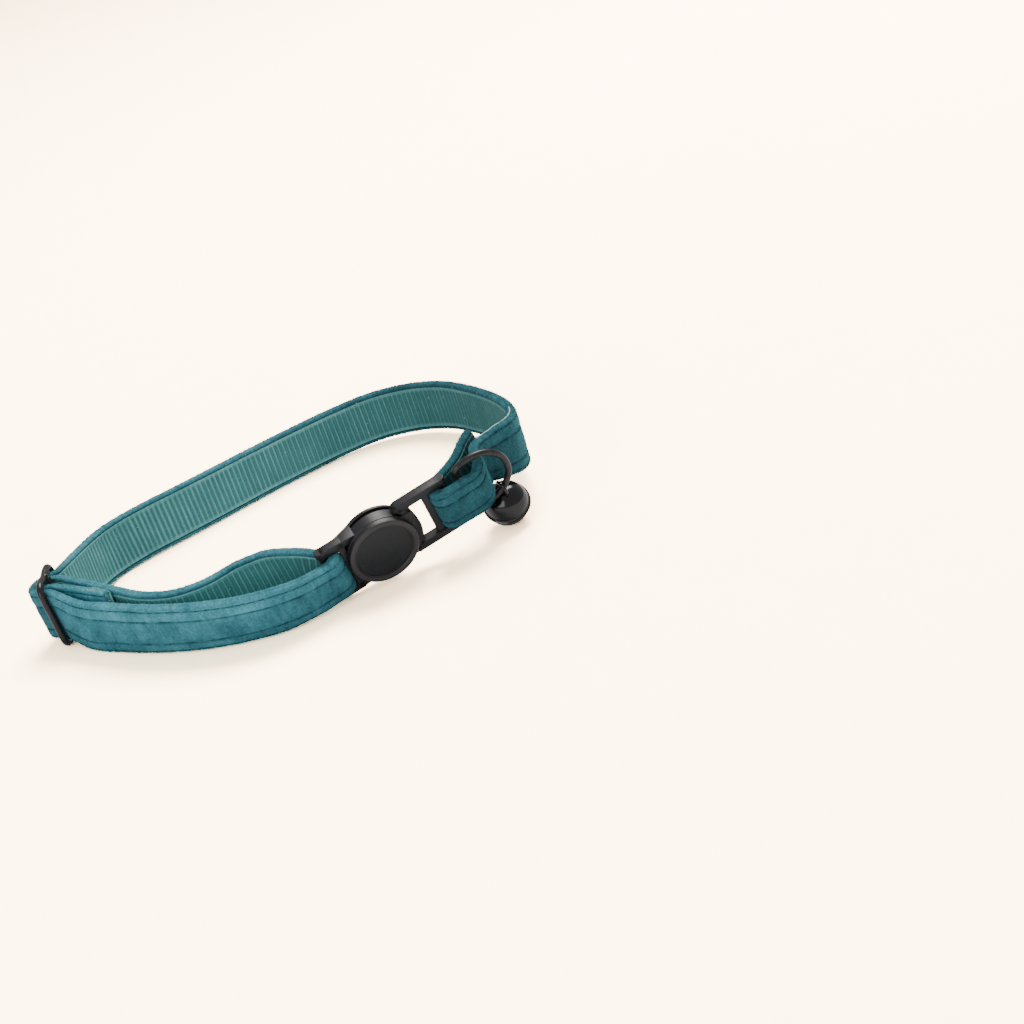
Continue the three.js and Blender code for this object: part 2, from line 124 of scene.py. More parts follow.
def placed(origin, turn, rise, lean):
    """A frame: its origin, along, up (across the strap) and out (away from the neck)."""
    turn, rise, lean = rad(turn), rad(rise), rad(lean)
    along = Vector((math.cos(rise) * math.cos(turn), math.cos(rise) * math.sin(turn), math.sin(rise)))
    flat = Vector((math.sin(turn), -math.cos(turn), 0))
    up = flat.cross(along) * math.cos(lean) + flat * math.sin(lean)
    return {"origin": origin, "along": along, "up": up, "out": along.cross(up)}


def at(f, along, up, out):
    return f["origin"] + f["along"] * along + f["up"] * up + f["out"] * out


def basis(f):
    m = Matrix((f["along"], f["up"], f["out"])).transposed().to_4x4()
    return Matrix.Translation(f["origin"]) @ m


# Placing of the hard pieces
strap_half = STRAP_WIDTH / 2
bar_radius = BAR_DIAMETER / 2
wrap_radius = bar_radius + FIT_GAP + STRAP_THICKNESS / 2
slot_width = STRAP_THICKNESS + 2 * FIT_GAP
disc_radius = DISC_DIAMETER / 2
rail_inner = (STRAP_WIDTH * BUCKLE_SQUEEZE) / 2 + FIT_GAP
rail_outer = rail_inner + RAIL_WIDTH
left_cross = -disc_radius - CROSS_REACH
left_bar = left_cross - slot_width - bar_radius
right_cross = disc_radius + WINDOW
right_bar = right_cross + CROSS_BAR + slot_width + bar_radius

disc_lean = rad(BUCKLE_LEAN)
disc_drop = disc_radius * math.cos(disc_lean) + (DISC_DEPTH / 2) * math.sin(disc_lean)
buckle = placed(
    Vector((LOOP_LENGTH * 0.183, LOOP_DEPTH * -0.3968, disc_drop + BUCKLE_LIFT)),
    BUCKLE_TURN,
    BUCKLE_RISE,
    BUCKLE_LEAN,
)

slide_radius = SLIDE_WIRE / 2
thin = STRAP_THICKNESS * SLIDE_SQUEEZE
first_wrap = slide_radius + FIT_GAP + thin / 2
second_wrap = first_wrap + thin + FIT_GAP
slide_pitch = (first_wrap + second_wrap) * 1.03
slide_half = strap_half + FIT_GAP + slide_radius
slide_inset = slide_radius * 0.8
slide = placed(
    Vector((LOOP_LENGTH * -0.439, LOOP_DEPTH * -0.136, slide_half + slide_radius)),
    SLIDE_TURN,
    0,
    SLIDE_LEAN,
)

ring_radius = (RING_HEIGHT - RING_WIRE) / 2
ring_reach = RING_DEPTH - RING_WIRE
ring_bar_at = right_bar + bar_radius + 2 * FIT_GAP + RING_WIRE + slot_width * 0.5
ring_tilt = rad(RING_TILT)
ring = {
    "origin": at(buckle, ring_bar_at, 0, 0),
    "along": buckle["along"] * math.cos(ring_tilt) + buckle["up"] * math.sin(ring_tilt),
    "up": buckle["up"] * math.cos(ring_tilt) - buckle["along"] * math.sin(ring_tilt),
    "out": buckle["out"].copy(),
}

bell_radius = BELL_DIAMETER / 2
hang_turn = rad(-68)
hang = at(
    ring,
    ring_reach - ring_radius + ring_radius * math.cos(hang_turn),
    ring_radius * math.sin(hang_turn),
    0,
)
loop_radius = (BELL_LOOP - BELL_LOOP_WIRE) / 2
loop_centre = bell_radius + loop_radius - BELL_LOOP_WIRE * 0.3
hang_reach = loop_centre + loop_radius - (BELL_LOOP_WIRE + RING_WIRE) / 2 - FIT_GAP * 1.4
hang_side = math.sqrt(hang_reach**2 - (hang.z - bell_radius) ** 2)
bell_centre = Vector((hang.x, hang.y + hang_side, bell_radius))
bell_top = BELL_DIAMETER + FIT_GAP
bell_up = (hang - bell_centre).normalized()
wire_way = ring["along"] * -math.sin(hang_turn) + ring["up"] * math.cos(hang_turn)
loop_way = (wire_way - bell_up * wire_way.dot(bell_up)).normalized()
bell = {"origin": bell_centre, "along": loop_way.cross(bell_up), "up": loop_way, "out": bell_up}

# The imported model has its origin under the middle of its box, so the pieces are shifted as it is.
pellet_low, pellet_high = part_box("bell_pellet")
pellet_drop = (bell_radius - BELL_WALL) * 0.985 - FIT_GAP - PELLET_DIAMETER / 2
shift = (pellet_low + pellet_high) / 2 / MM - (bell_centre - Vector((0, 0, pellet_drop)))

# Strap route: knots with the point, the top's direction and the shares of thickness and width
knots = []


def knot(point, up, thick=1.0, wide=1.0):
    knots.append((point, up.normalized(), thick, wide))


def wrap(f, x, y, radius, start, end, thick, wide):
    steps = max(1, math.ceil(abs(end - start) / 26))
    for i in range(steps + 1):
        turn = rad(start + (end - start) * i / steps)
        point = at(f, x + radius * math.cos(turn), 0, y + radius * math.sin(turn))
        knot(point, f["up"], thick, wide)


def ground(rows):
    """x and y as shares of the loop, lift in bell heights, the top's tip, width, thickness."""
    for x, y, lift, tip_x, tip_y, wide, *rest in rows:
        thick = rest[0] if rest else 1.0
        up = Vector((tip_x, tip_y, 1)).normalized()
        skin = STRAP_THICKNESS / 2 * thick
        stand = strap_half * wide * up.z + skin * math.hypot(up.x, up.y)
        knot(Vector((x * LOOP_LENGTH, y * LOOP_DEPTH, stand + lift * bell_top)), up, thick, wide)


def by_ring(rows):
    """From the buckle's right bar: along, up and out in ring depths, the top's tip, width."""
    for along, up, out, tip_x, tip_y, wide in rows:
        point = at(buckle, right_bar + along * RING_DEPTH, up * RING_DEPTH, out * RING_DEPTH)
        knot(point, Vector((tip_x, tip_y, 1)), 1.0, wide)


by_ring([
    (1.05, 0.075, -0.72, 0, 0, 0.9),
    (0.79, 0.06, -0.56, -0.03, -0.05, 0.9),
    (0.45, 0.02, -0.33, -0.08, -0.15, 0.88),
])
wrap(buckle, right_bar, 0, wrap_radius, 260, 92, 1, BUCKLE_SQUEEZE)
by_ring([
    (0.40, 0.0, 0.215, -0.12, -0.33, 0.84),
    (0.53, 0.005, 0.215, -0.12, -0.33, 0.8),
    (0.645, 0.02, 0.17, -0.12, -0.33, 0.78),
    (0.73, 0.04, 0.07, -0.12, -0.32, 0.77),
    (0.79, 0.075, -0.07, -0.10, -0.29, 0.76),
    (0.87, 0.135, -0.27, -0.06, -0.20, 0.79),
])
ground([
    (0.431, -0.257, 1.05, 0, 0.02, 0.92),
    (0.461, -0.212, 0.92, 0, 0.05, 0.98),
    (0.476, -0.125, 0.72, 0, 0.05, 1),
    (0.477, -0.020, 0.53, 0, 0.02, 1),
    (0.468, 0.100, 0.36, 0, 0, 1),
    (0.445, 0.220, 0.24, 0, 0, 1),
    (0.410, 0.335, 0.16, 0, 0, 1),
    (0.360, 0.438, 0.13, 0, 0, 1),
    (0.292, 0.508, 0.10, 0, 0, 1),
    (0.212, 0.536, 0.07, 0, 0, 1),
    (0.130, 0.518, 0.035, 0, 0, 1),
    (0.045, 0.474, 0.01, 0, 0.02, 1),
    (-0.045, 0.414, 0, 0, 0.04, 1),
    (-0.130, 0.347, 0, 0, 0.08, 1),
    (-0.215, 0.282, 0, 0, 0.12, 1),
    (-0.300, 0.218, 0, 0, 0.14, 1),
    (-0.362, 0.147, 0, 0, 0.12, 1),
])
span_in = math.hypot(slide_pitch, slide_inset)
tilt_in = math.degrees(math.atan2(-slide_inset, slide_pitch))
cross = math.degrees(math.asin((first_wrap + second_wrap) / span_in))
rise = tilt_in + cross
fall = -tilt_in - cross
wrap(slide, -slide_pitch, 0, first_wrap, -58, rise - 90, SLIDE_SQUEEZE, 0.96)
wrap(slide, 0, -slide_inset, second_wrap, rise + 90, fall + 90, SLIDE_SQUEEZE, 0.96)
wrap(slide, slide_pitch, 0, first_wrap, fall - 90, -128, SLIDE_SQUEEZE, 0.96)
ground([
    (-0.382, -0.262, 0, 0, -0.05, 1, 0.85),
    (-0.320, -0.333, 0, 0, -0.12, 1),
    (-0.260, -0.393, 0, 0, -0.18, 1),
    (-0.190, -0.448, 0, 0, -0.25, 1),
    (-0.130, -0.482, 0, 0, -0.31, 1),
    (-0.075, -0.501, 0, 0, -0.36, 1),
    (-0.020, -0.505, 0, 0, -0.36, 0.98),
    (0.035, -0.488, 0.05, -0.04, -0.35, 0.88),
])
wrap(buckle, left_bar, 0, wrap_radius, 92, -100, 1, BUCKLE_SQUEEZE)
ground([
    (0.038, -0.390, 0.33, -0.09, -0.24, 0.88),
    (-0.015, -0.362, 0.24, -0.05, -0.10, 0.97),
    (-0.070, -0.364, 0.15, 0, 0, 1),
    (-0.130, -0.387, 0.07, 0, -0.04, 1),
    (-0.190, -0.385, 0.03, 0, -0.06, 1),
    (-0.250, -0.343, 0.03, 0, -0.06, 1),
    (-0.315, -0.254, 0.05, 0, -0.06, 1),
    (-0.364, -0.188, 0.10, 0, -0.03, 1, 0.85),
    (-0.392, -0.152, 0.12, 0, 0, 1, 0.8),
])
wrap(slide, 0, -slide_inset, first_wrap, 216, fall + 90, SLIDE_SQUEEZE, 0.96)
wrap(slide, slide_pitch, 0, second_wrap, fall - 90, -128, SLIDE_SQUEEZE, 0.96)
ground([
    (-0.369, -0.226, 0.12, 0, -0.05, 1, 0.8),
    (-0.315, -0.299, 0.14, 0, -0.08, 1, 0.85),
])


def between(p0, p1, p2, p3, t):
    """Centripetal Catmull-Rom between p1 and p2, as the part's own curve has it."""
    d0 = max((p1 - p0).length, 1e-8) ** 0.5
    d1 = max((p2 - p1).length, 1e-8) ** 0.5
    d2 = max((p3 - p2).length, 1e-8) ** 0.5
    m1 = ((p1 - p0) / d0 - (p2 - p0) / (d0 + d1) + (p2 - p1) / d1) * d1
    m2 = ((p2 - p1) / d1 - (p3 - p1) / (d1 + d2) + (p3 - p2) / d2) * d1
    c2 = (p2 - p1) * 3 - m1 * 2 - m2
    c3 = (p1 - p2) * 2 + m1 + m2
    return p1 + m1 * t + c2 * t * t + c3 * t * t * t


def smoothed(values, reach):
    """A running mean with a soft window, for values at equal steps."""
    window = np.hanning(2 * reach + 3)
    window /= window.sum()
    half = len(window) // 2
    padded = np.pad(values, ((half, half), (0, 0)), mode="edge")
    columns = [np.convolve(padded[:, k], window, mode="valid") for k in range(values.shape[1])]
    return np.stack(columns, axis=1)


route_rows = []
last = len(knots) - 1
for i in range(last):
    a, b = knots[i], knots[i + 1]
    before = knots[i - 1][0] if i > 0 else a[0] * 2 - b[0]
    after = knots[i + 2][0] if i + 2 <= last else b[0] * 2 - a[0]
    for k in range(24):
        f = k / 24
        p = between(before, a[0], b[0], after, f) + shift
        u = a[1].lerp(b[1], f)
        route_rows.append([*p, *u, a[2] + (b[2] - a[2]) * f, a[3] + (b[3] - a[3]) * f])
route_rows.append([*(knots[last][0] + shift), *knots[last][1], knots[last][2], knots[last][3]])
route = np.array(route_rows)
reach_along = np.concatenate([[0], np.cumsum(np.linalg.norm(np.diff(route[:, :3], axis=0), axis=1))])
STRAP_LENGTH = float(reach_along[-1])
even = np.linspace(0, STRAP_LENGTH, round(STRAP_LENGTH / FINE) + 1)
line = np.stack([np.interp(even, reach_along, route[:, k]) for k in range(8)], axis=1)
line[:, 3:] = smoothed(line[:, 3:], 11)
line[:, :3] = smoothed(line[:, :3], 3)
tangent = np.gradient(line[:, :3], axis=0)
tangent /= np.linalg.norm(tangent, axis=1)[:, None]
top = line[:, 3:6] - tangent * np.sum(line[:, 3:6] * tangent, axis=1)[:, None]
top /= np.linalg.norm(top, axis=1)[:, None]
outward = np.cross(tangent, top)


def stations(count, start=0.0, end=None):
    """Point, top, out, thickness and width shares at count + 1 equal steps of a stretch."""
    s = np.linspace(start, STRAP_LENGTH if end is None else end, count + 1)
    columns = np.concatenate([line[:, :3], top, outward, line[:, 6:8]], axis=1)
    return s, np.stack([np.interp(s, even, columns[:, k]) for k in range(11)], axis=1)


# Making and finishing of pieces
def link(name, mesh, material, replaced=()):
    piece = bpy.data.objects.new(name, mesh)
    scene.collection.objects.link(piece)
    mesh.materials.append(material)
    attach(piece, "root")
    if replaced:
        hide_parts(*replaced)
    return piece


def finish(bm, name, material, replaced=(), smooth=35):
    """The bmesh, in millimetres, becomes a piece in metres."""
    bmesh.ops.scale(bm, vec=(MM, MM, MM), verts=bm.verts)
    mesh = bpy.data.meshes.new(name)
    bm.to_mesh(mesh)
    bm.free()
    mesh.shade_smooth()
    if smooth:
        mesh.set_sharp_from_angle(angle=rad(smooth))
    return link(name, mesh, material, replaced)


def sweep(count, profile, shape, start=0.0, end=None):
    """A grid rolled round a closed profile along the strap.
    shape(s, j, place) gives each profile point's across and out, and its mask."""
    bm = bmesh.new()
    uv = bm.loops.layers.uv.new("cloth")
    sides = len(profile)
    bmesh.ops.create_grid(bm, x_segments=count, y_segments=sides, size=0.5, calc_uvs=True)
    mask = bm.verts.layers.float.new("mask")
    s, rows = stations(count, start, end)
    girth = [0.0]
    for j in range(sides):
        a, b = profile[j], profile[(j + 1) % sides]
        girth.append(girth[-1] + math.hypot(b[0] - a[0], b[1] - a[1]))
    for face in bm.faces:
        for loop in face.loops:
            i = round((loop.vert.co.x + 0.5) * count)
            j = round((loop.vert.co.y + 0.5) * sides)
            loop[uv].uv = (s[i], girth[j])
    for vert in bm.verts:
        i = round((vert.co.x + 0.5) * count)
        j = round((vert.co.y + 0.5) * sides) % sides
        row = rows[i]
        across, out, value = shape(float(s[i]), j, row)
        vert.co = row[:3] + row[3:6] * (across * row[10]) + row[6:9] * (out * row[9])
        vert[mask] = value
    bmesh.ops.remove_doubles(bm, verts=bm.verts, dist=1e-5)
    bmesh.ops.holes_fill(bm, edges=[e for e in bm.edges if e.is_boundary], sides=0)
    bmesh.ops.recalc_face_normals(bm, faces=bm.faces)
    return bm


# Shared shader effects
def new_group(name, inputs, outputs):
    group = bpy.data.node_groups.new(name, "ShaderNodeTree")
    for label, kind, value in inputs:
        socket = group.interface.new_socket(label, in_out="INPUT", socket_type=kind)
        socket.default_value = value
    for label, kind in outputs:
        group.interface.new_socket(label, in_out="OUTPUT", socket_type=kind)
    start = group.nodes.new("NodeGroupInput")
    end = group.nodes.new("NodeGroupOutput")
    return group, start, end


def put(tree, kind, **settings):
    node = tree.nodes.new(kind)
    for key, value in settings.items():
        setattr(node, key, value)
    return node


def noise_at(tree, vector, scale, detail, rough=0.6):
    node = put(tree, "ShaderNodeTexNoise", noise_dimensions="3D")
    tree.links.new(vector, node.inputs["Vector"])
    if isinstance(scale, (int, float)):
        node.inputs["Scale"].default_value = scale
    else:
        tree.links.new(scale, node.inputs["Scale"])
    node.inputs["Detail"].default_value = detail
    node.inputs["Roughness"].default_value = rough
    return node.outputs["Fac"]


def ranged(tree, value, low, high, to_low=0.0, to_high=1.0):
    node = put(tree, "ShaderNodeMapRange")
    tree.links.new(value, node.inputs["Value"])
    node.inputs["From Min"].default_value = low
    node.inputs["From Max"].default_value = high
    node.inputs["To Min"].default_value = to_low
    node.inputs["To Max"].default_value = to_high
    return node.outputs["Result"]


def blended(tree, factor, a, b):
    """Two colours mixed; each may be a socket or a plain colour."""
    node = put(tree, "ShaderNodeMix", data_type="RGBA")
    if isinstance(factor, (int, float)):
        node.inputs["Factor"].default_value = factor
    else:
        tree.links.new(factor, node.inputs["Factor"])
    for index, value in ((6, a), (7, b)):
        if isinstance(value, tuple):
            node.inputs[index].default_value = value
        else:
            tree.links.new(value, node.inputs[index])
    return node.outputs[2]


def calc(tree, operation, a, b):
    node = put(tree, "ShaderNodeMath", operation=operation)
    for index, value in ((0, a), (1, b)):
        if isinstance(value, (int, float)):
            node.inputs[index].default_value = value
        else:
            tree.links.new(value, node.inputs[index])
    return node.outputs[0]


nap, nap_in, nap_out = new_group(
    "brushed_nap",
    [("Dark", "NodeSocketColor", (0, 0, 0, 1)), ("Light", "NodeSocketColor", (1, 1, 1, 1)),
     ("Patch Scale", "NodeSocketFloat", 120.0), ("Grain Scale", "NodeSocketFloat", 2500.0)],
    [("Color", "NodeSocketColor"), ("Grain", "NodeSocketFloat")],
)
nap_where = put(nap, "ShaderNodeTexCoord").outputs["Object"]
nap_patch = noise_at(nap, nap_where, nap_in.outputs["Patch Scale"], 3.0)
nap_grain = noise_at(nap, nap_where, nap_in.outputs["Grain Scale"], 2.0, 0.7)
nap_level = calc(nap, "ADD", calc(nap, "MULTIPLY", nap_patch, 0.55), calc(nap, "MULTIPLY", nap_grain, 0.45))
nap_mix = blended(nap, ranged(nap, nap_level, 0.34, 0.64), nap_in.outputs["Dark"], nap_in.outputs["Light"])
nap.links.new(nap_mix, nap_out.inputs["Color"])
nap.links.new(nap_grain, nap_out.inputs["Grain"])

wear, wear_in, wear_out = new_group(
    "handled_surface",
    [("Base", "NodeSocketColor", (0, 0, 0, 1)), ("Rubbed", "NodeSocketColor", (1, 1, 1, 1)),
     ("Scale", "NodeSocketFloat", 300.0), ("Smooth", "NodeSocketFloat", 0.3),
     ("Rough", "NodeSocketFloat", 0.6)],
    [("Color", "NodeSocketColor"), ("Roughness", "NodeSocketFloat"), ("Height", "NodeSocketFloat")],
)
wear_where = put(wear, "ShaderNodeTexCoord").outputs["Object"]
wear_patch = noise_at(wear, wear_where, wear_in.outputs["Scale"], 5.0, 0.65)
wear_fine = noise_at(wear, wear_where, calc(wear, "MULTIPLY", wear_in.outputs["Scale"], 9.0), 2.0)
wear_mask = ranged(wear, wear_patch, 0.45, 0.75)
wear_mix = blended(wear, wear_mask, wear_in.outputs["Base"], wear_in.outputs["Rubbed"])
wear.links.new(wear_mix, wear_out.inputs["Color"])
wear_span = calc(wear, "SUBTRACT", wear_in.outputs["Rough"], wear_in.outputs["Smooth"])
wear_rough = calc(wear, "ADD", calc(wear, "MULTIPLY", wear_span, wear_patch), wear_in.outputs["Smooth"])
wear.links.new(wear_rough, wear_out.inputs["Roughness"])
wear.links.new(wear_fine, wear_out.inputs["Height"])


def material(name, **sockets):
    mat = bpy.data.materials.new(name)
    mat.use_nodes = True
    shader = mat.node_tree.nodes["Principled BSDF"]
    for key, value in sockets.items():
        shader.inputs[key.replace("_", " ")].default_value = value
    return mat, mat.node_tree, shader


def grouped(tree, group, **values):
    node = put(tree, "ShaderNodeGroup", node_tree=group)
    for key, value in values.items():
        node.inputs[key.replace("_", " ")].default_value = value
    return node


def bumped(tree, shader, height, strength, distance):
    node = put(tree, "ShaderNodeBump")
    node.inputs["Strength"].default_value = strength
    node.inputs["Distance"].default_value = distance
    tree.links.new(height, node.inputs["Height"])
    tree.links.new(node.outputs["Normal"], shader.inputs["Normal"])


def tone(r, g, b):
    return (r, g, b, 1.0)


def shaded_side(tree, low, high, left, right):
    """A factor that changes with the length of the collar: painted shade, darker towards one end."""
    where = put(tree, "ShaderNodeTexCoord").outputs["Object"]
    split = put(tree, "ShaderNodeSeparateXYZ")
    tree.links.new(where, split.inputs[0])
    return ranged(tree, split.outputs["X"], low, high, left, right)


def darkened(tree, colour, factor):
    node = put(tree, "ShaderNodeMix", data_type="RGBA", blend_type="MULTIPLY")
    node.inputs["Factor"].default_value = 1.0
    tree.links.new(colour, node.inputs[6])
    tree.links.new(factor, node.inputs[7])
    return node.outputs[2]


def velvet_material(name, dark, light, groove, streaks_and_top_highlight):
    mat, tree, shader = material(
        name, Roughness=0.95, Sheen_Weight=0.30, Sheen_Roughness=0.42,
        Sheen_Tint=tone(0.16, 0.60, 0.68), Specular_IOR_Level=0.08,
    )
    fur = grouped(tree, nap, Dark=dark, Light=light, Patch_Scale=190.0, Grain_Scale=2300.0)
    mask = put(tree, "ShaderNodeAttribute", attribute_name="mask")
    # painted shade: the mask darkens the cloth towards the groove colour in the stitched lines; the rim seams
    # and the bed under the ribbon are drawn darker with it too
    tint = blended(tree, mask.outputs["Fac"], fur.outputs["Color"], groove)
    if streaks_and_top_highlight:
        across = put(tree, "ShaderNodeMapping")
        across.inputs["Scale"].default_value = (1.3, 0.20, 1.0)
        tree.links.new(put(tree, "ShaderNodeUVMap", uv_map="cloth").outputs["UV"], across.inputs["Vector"])
        streak = ranged(tree, noise_at(tree, across.outputs[0], 1.0, 4.0), 0.3, 0.7, 0.80, 1.18)
        tint = darkened(tree, tint, streak)
        # painted highlight: the band above the first stitched line and the top rim are drawn lighter, as if
        # facing the light
        girth = put(tree, "ShaderNodeSeparateXYZ")
        tree.links.new(put(tree, "ShaderNodeUVMap", uv_map="cloth").outputs["UV"], girth.inputs[0])
        tint = darkened(tree, tint, ranged(tree, girth.outputs["Y"], 2.4, 3.6, 1.28, 1.0))
        tint = darkened(tree, tint, ranged(tree, girth.outputs["Y"], 26.0, 28.0, 1.0, 1.28))
    # painted shade: the cloth darkens towards the right end of the collar
    tint = darkened(tree, tint, shaded_side(tree, -0.008, 0.030, 1.0, 0.40))
    # painted shade: the cloth darkens at the left end, by the slide
    tint = darkened(tree, tint, shaded_side(tree, -0.054, -0.045, 0.55, 1.0))
    tree.links.new(tint, shader.inputs["Base Color"])
    bumped(tree, shader, fur.outputs["Grain"], 0.65, 0.0004)
    return mat


velvet = velvet_material(
    "velvet_teal", tone(0.025, 0.118, 0.150), tone(0.078, 0.286, 0.345), tone(0.009, 0.052, 0.065), True
)
pile_hair = velvet_material(
    "velvet_pile", tone(0.030, 0.160, 0.195), tone(0.085, 0.330, 0.380), tone(0.01, 0.07, 0.09), False
)

ribbon_cloth, tree, shader = material(
    "grosgrain_teal", Roughness=0.8, Sheen_Weight=0.15, Sheen_Roughness=0.5,
    Sheen_Tint=tone(0.35, 0.75, 0.72), Specular_IOR_Level=0.12,
)
threads = grouped(
    tree, nap, Dark=tone(0.036, 0.140, 0.142), Light=tone(0.056, 0.200, 0.200),
    Patch_Scale=140.0, Grain_Scale=2600.0,
)
# painted highlight: where the mask is high, on the rib crests, the ribbon is drawn much lighter
lit_crest_tone = grouped(
    tree, nap, Dark=tone(0.130, 0.410, 0.412), Light=tone(0.250, 0.600, 0.600),
    Patch_Scale=220.0, Grain_Scale=3100.0,
)
lit_crest_mask = put(tree, "ShaderNodeAttribute", attribute_name="mask")
rib_tint = blended(tree, lit_crest_mask.outputs["Fac"], threads.outputs["Color"], lit_crest_tone.outputs["Color"])
# painted shade: the ribbon darkens towards the right end of the collar
rib_tint = darkened(tree, rib_tint, shaded_side(tree, -0.010, 0.045, 1.05, 0.52))
tree.links.new(rib_tint, shader.inputs["Base Color"])
bumped(tree, shader, threads.outputs["Grain"], 0.45, 0.0002)

# the stitches are drawn nearly black: painted shade, as if they sat in shadowed holes
thread, tree, shader = material("stitch_thread", Roughness=0.8, Specular_IOR_Level=0.1)
stitch_shade_tone = grouped(
    tree, nap, Dark=tone(0.005, 0.034, 0.045), Light=tone(0.014, 0.080, 0.098),
    Patch_Scale=300.0, Grain_Scale=4200.0,
)
tree.links.new(stitch_shade_tone.outputs["Color"], shader.inputs["Base Color"])

lint, tree, shader = material("lint_fibre", Roughness=0.8)
fluff = grouped(
    tree, nap, Dark=tone(0.34, 0.52, 0.54), Light=tone(0.62, 0.76, 0.78),
    Patch_Scale=500.0, Grain_Scale=4000.0,
)
tree.links.new(fluff.outputs["Color"], shader.inputs["Base Color"])


def hard_material(name, base, rubbed, smooth, rough, scale, height, metal=0.0, coat=0.0, rim=None):
    mat, tree, shader = material(
        name, Metallic=metal, Coat_Weight=coat, Coat_Roughness=0.12, Specular_IOR_Level=0.42
    )
    skin = grouped(tree, wear, Base=base, Rubbed=rubbed, Scale=scale, Smooth=smooth, Rough=rough)
    colour = skin.outputs["Color"]
    if rim is not None:
        mask = put(tree, "ShaderNodeAttribute", attribute_name="mask")
        colour = blended(tree, mask.outputs["Fac"], colour, rim)
    tree.links.new(colour, shader.inputs["Base Color"])
    tree.links.new(skin.outputs["Roughness"], shader.inputs["Roughness"])
    bumped(tree, shader, skin.outputs["Height"], height, 0.0001)
    return mat


plastic = hard_material(
    "moulded_black", tone(0.0055, 0.0060, 0.0078), tone(0.0085, 0.0090, 0.0110), 0.34, 0.52, 160.0, 0.3,
    rim=tone(0.030, 0.027, 0.027)
)
wire_coat = hard_material(
    "coated_wire", tone(0.012, 0.0105, 0.0108), tone(0.040, 0.036, 0.038), 0.20, 0.40, 420.0, 0.2, 0.15
)
lacquer = hard_material(
    "bell_lacquer", tone(0.0030, 0.0030, 0.0034), tone(0.0060, 0.0055, 0.0055), 0.10, 0.20,
    200.0, 0.06, 0.1, 0.2
)
steel = hard_material(
    "pellet_steel", tone(0.42, 0.42, 0.41), tone(0.30, 0.29, 0.28), 0.28, 0.5, 500.0, 0.1, 1.0
)


# Velvet strap: an outer face with stitched lines, rolled edges and a bed for the ribbon
LINES = (
    # across, depth, width, dashed, lift of the cloth between this line and the next
    (5.05, 0.24, 0.20, True, 0.16),
    (2.35, 0.24, 0.22, False, 0.15),
    (-3.45, 0.22, 0.20, False, 0.10),
    (-5.25, 0.10, 0.20, True, 0.0),
)
face_steps = 56
velvet_profile = []
for k in range(face_steps + 1):
    velvet_profile.append((5.45 - 10.9 * k / face_steps, 1.0))
for turn in range(1, 10):
    a = rad(90 + 180 * turn / 10)
    velvet_profile.append((-5.45 + math.cos(a) * 0.58, math.sin(a) * 1.04 - 0.03))
bed = [(5.40, -1.08), (5.22, -1.04), (5.12, -0.86), (5.12, -0.45), (4.9, -0.12)]
velvet_profile += [(-across, out) for across, out in bed] + [(0.0, -0.12)] + bed[::-1]
for turn in range(1, 10):
    a = rad(-90 + 180 * turn / 10)
    velvet_profile.append((5.45 + math.cos(a) * 0.58, math.sin(a) * 1.04 - 0.03))


def nearest(point):
    """How far along the strap it passes nearest to a point."""
    return float(even[np.argmin(np.linalg.norm(line[:, :3] - np.array(point), axis=1))])


turn_left = nearest(at(buckle, left_bar + 1.6, 0, 1.6) + shift)
turn_right = nearest(at(buckle, right_bar - 1.6, 0, 1.6) + shift)


def bulge(s):
    """The cloth swells where it turns tightly round a bar."""
    return 0.28 * sum(math.exp(-(((s - turn) / 1.7) ** 2)) for turn in (turn_left, turn_right))


def wander(s, seed):
    return 0.13 * noise.noise(Vector((s * 0.16, seed, 0))) + 0.05 * noise.noise(Vector((s * 0.9, seed, 3)))


def face_shape(s, across):
    """Height of the outer face at a place, and how deep in a stitched line it lies."""
    lift = 0.0
    for (high, _, _, _, puff), (low, *_) in zip(LINES, LINES[1:]):
        if low <= across <= high:
            t = (across - low) / (high - low)
            lift = puff * math.sin(math.pi * t) ** 0.7
    sink = 0.0
    depth_here = 0.0
    for index, (place, depth, width, dashed, _) in enumerate(LINES):
        spread = width * (1 + 0.45 * noise.noise(Vector((s * 0.7, index * 5.3, 2))))
        d = (across - place - wander(s, 5.0 + index * 7)) / spread
        if abs(d) > 3:
            continue
        swell = 0.72 + 0.75 * noise.noise(Vector((s * 0.30, index * 3.1, 1)))
        swell += 0.45 * noise.noise(Vector((s * 1.15, index * 2.7, 5)))
        swell = min(1.25, max(0.08, swell))
        if dashed:
            swell *= 0.35 + 0.65 * max(0.0, math.cos(2 * math.pi * s / STITCH)) ** 0.6
        value = math.exp(-d * d) * swell
        depth_here += depth * value
        sink = max(sink, value)
    return lift - depth_here, min(1.0, sink * 1.15)


def velvet_shape(s, j, place):
    # the third value is the mask of the groove colour: painted shade in the stitched lines, a darker rim
    # seam, and half of it on the bed under the ribbon
    across, out = velvet_profile[j]
    g = j * 0.21
    soft = noise.noise(Vector((s * 0.22, g * 0.35, 8))) * 0.07
    nubs = noise.noise(Vector((s * 1.25, g * 1.9, 4))) * 0.035
    if j <= face_steps:
        height, sink = face_shape(s, across)
        return across, out + height + soft + nubs + bulge(s), sink
    if abs(across) > 5.3:
        side = 1 if across > 0 else -1
        scallop = 0.11 * noise.noise(Vector((s * 0.8, side * 3, 12)))
        scallop += 0.15 * noise.noise(Vector((s * 1.9, side, 2)))
        gather = -0.05 * max(0.0, math.cos(2 * math.pi * s / STITCH)) ** 2
        seam = math.exp(-(((out + 0.15) / 0.16) ** 2)) * (0.7 if side > 0 else 0.5)
        swell = scallop + gather - 0.07 * seam + 1.1 * bulge(s)
        return across + side * swell, out + soft + nubs, seam * 0.75
    return across, out, 0.55


strap_rows = round(STRAP_LENGTH / VELVET_STEP)
bm = sweep(strap_rows, velvet_profile, velvet_shape)
finish(bm, "velvet_strap", velvet, ["strap_velvet"], smooth=0)

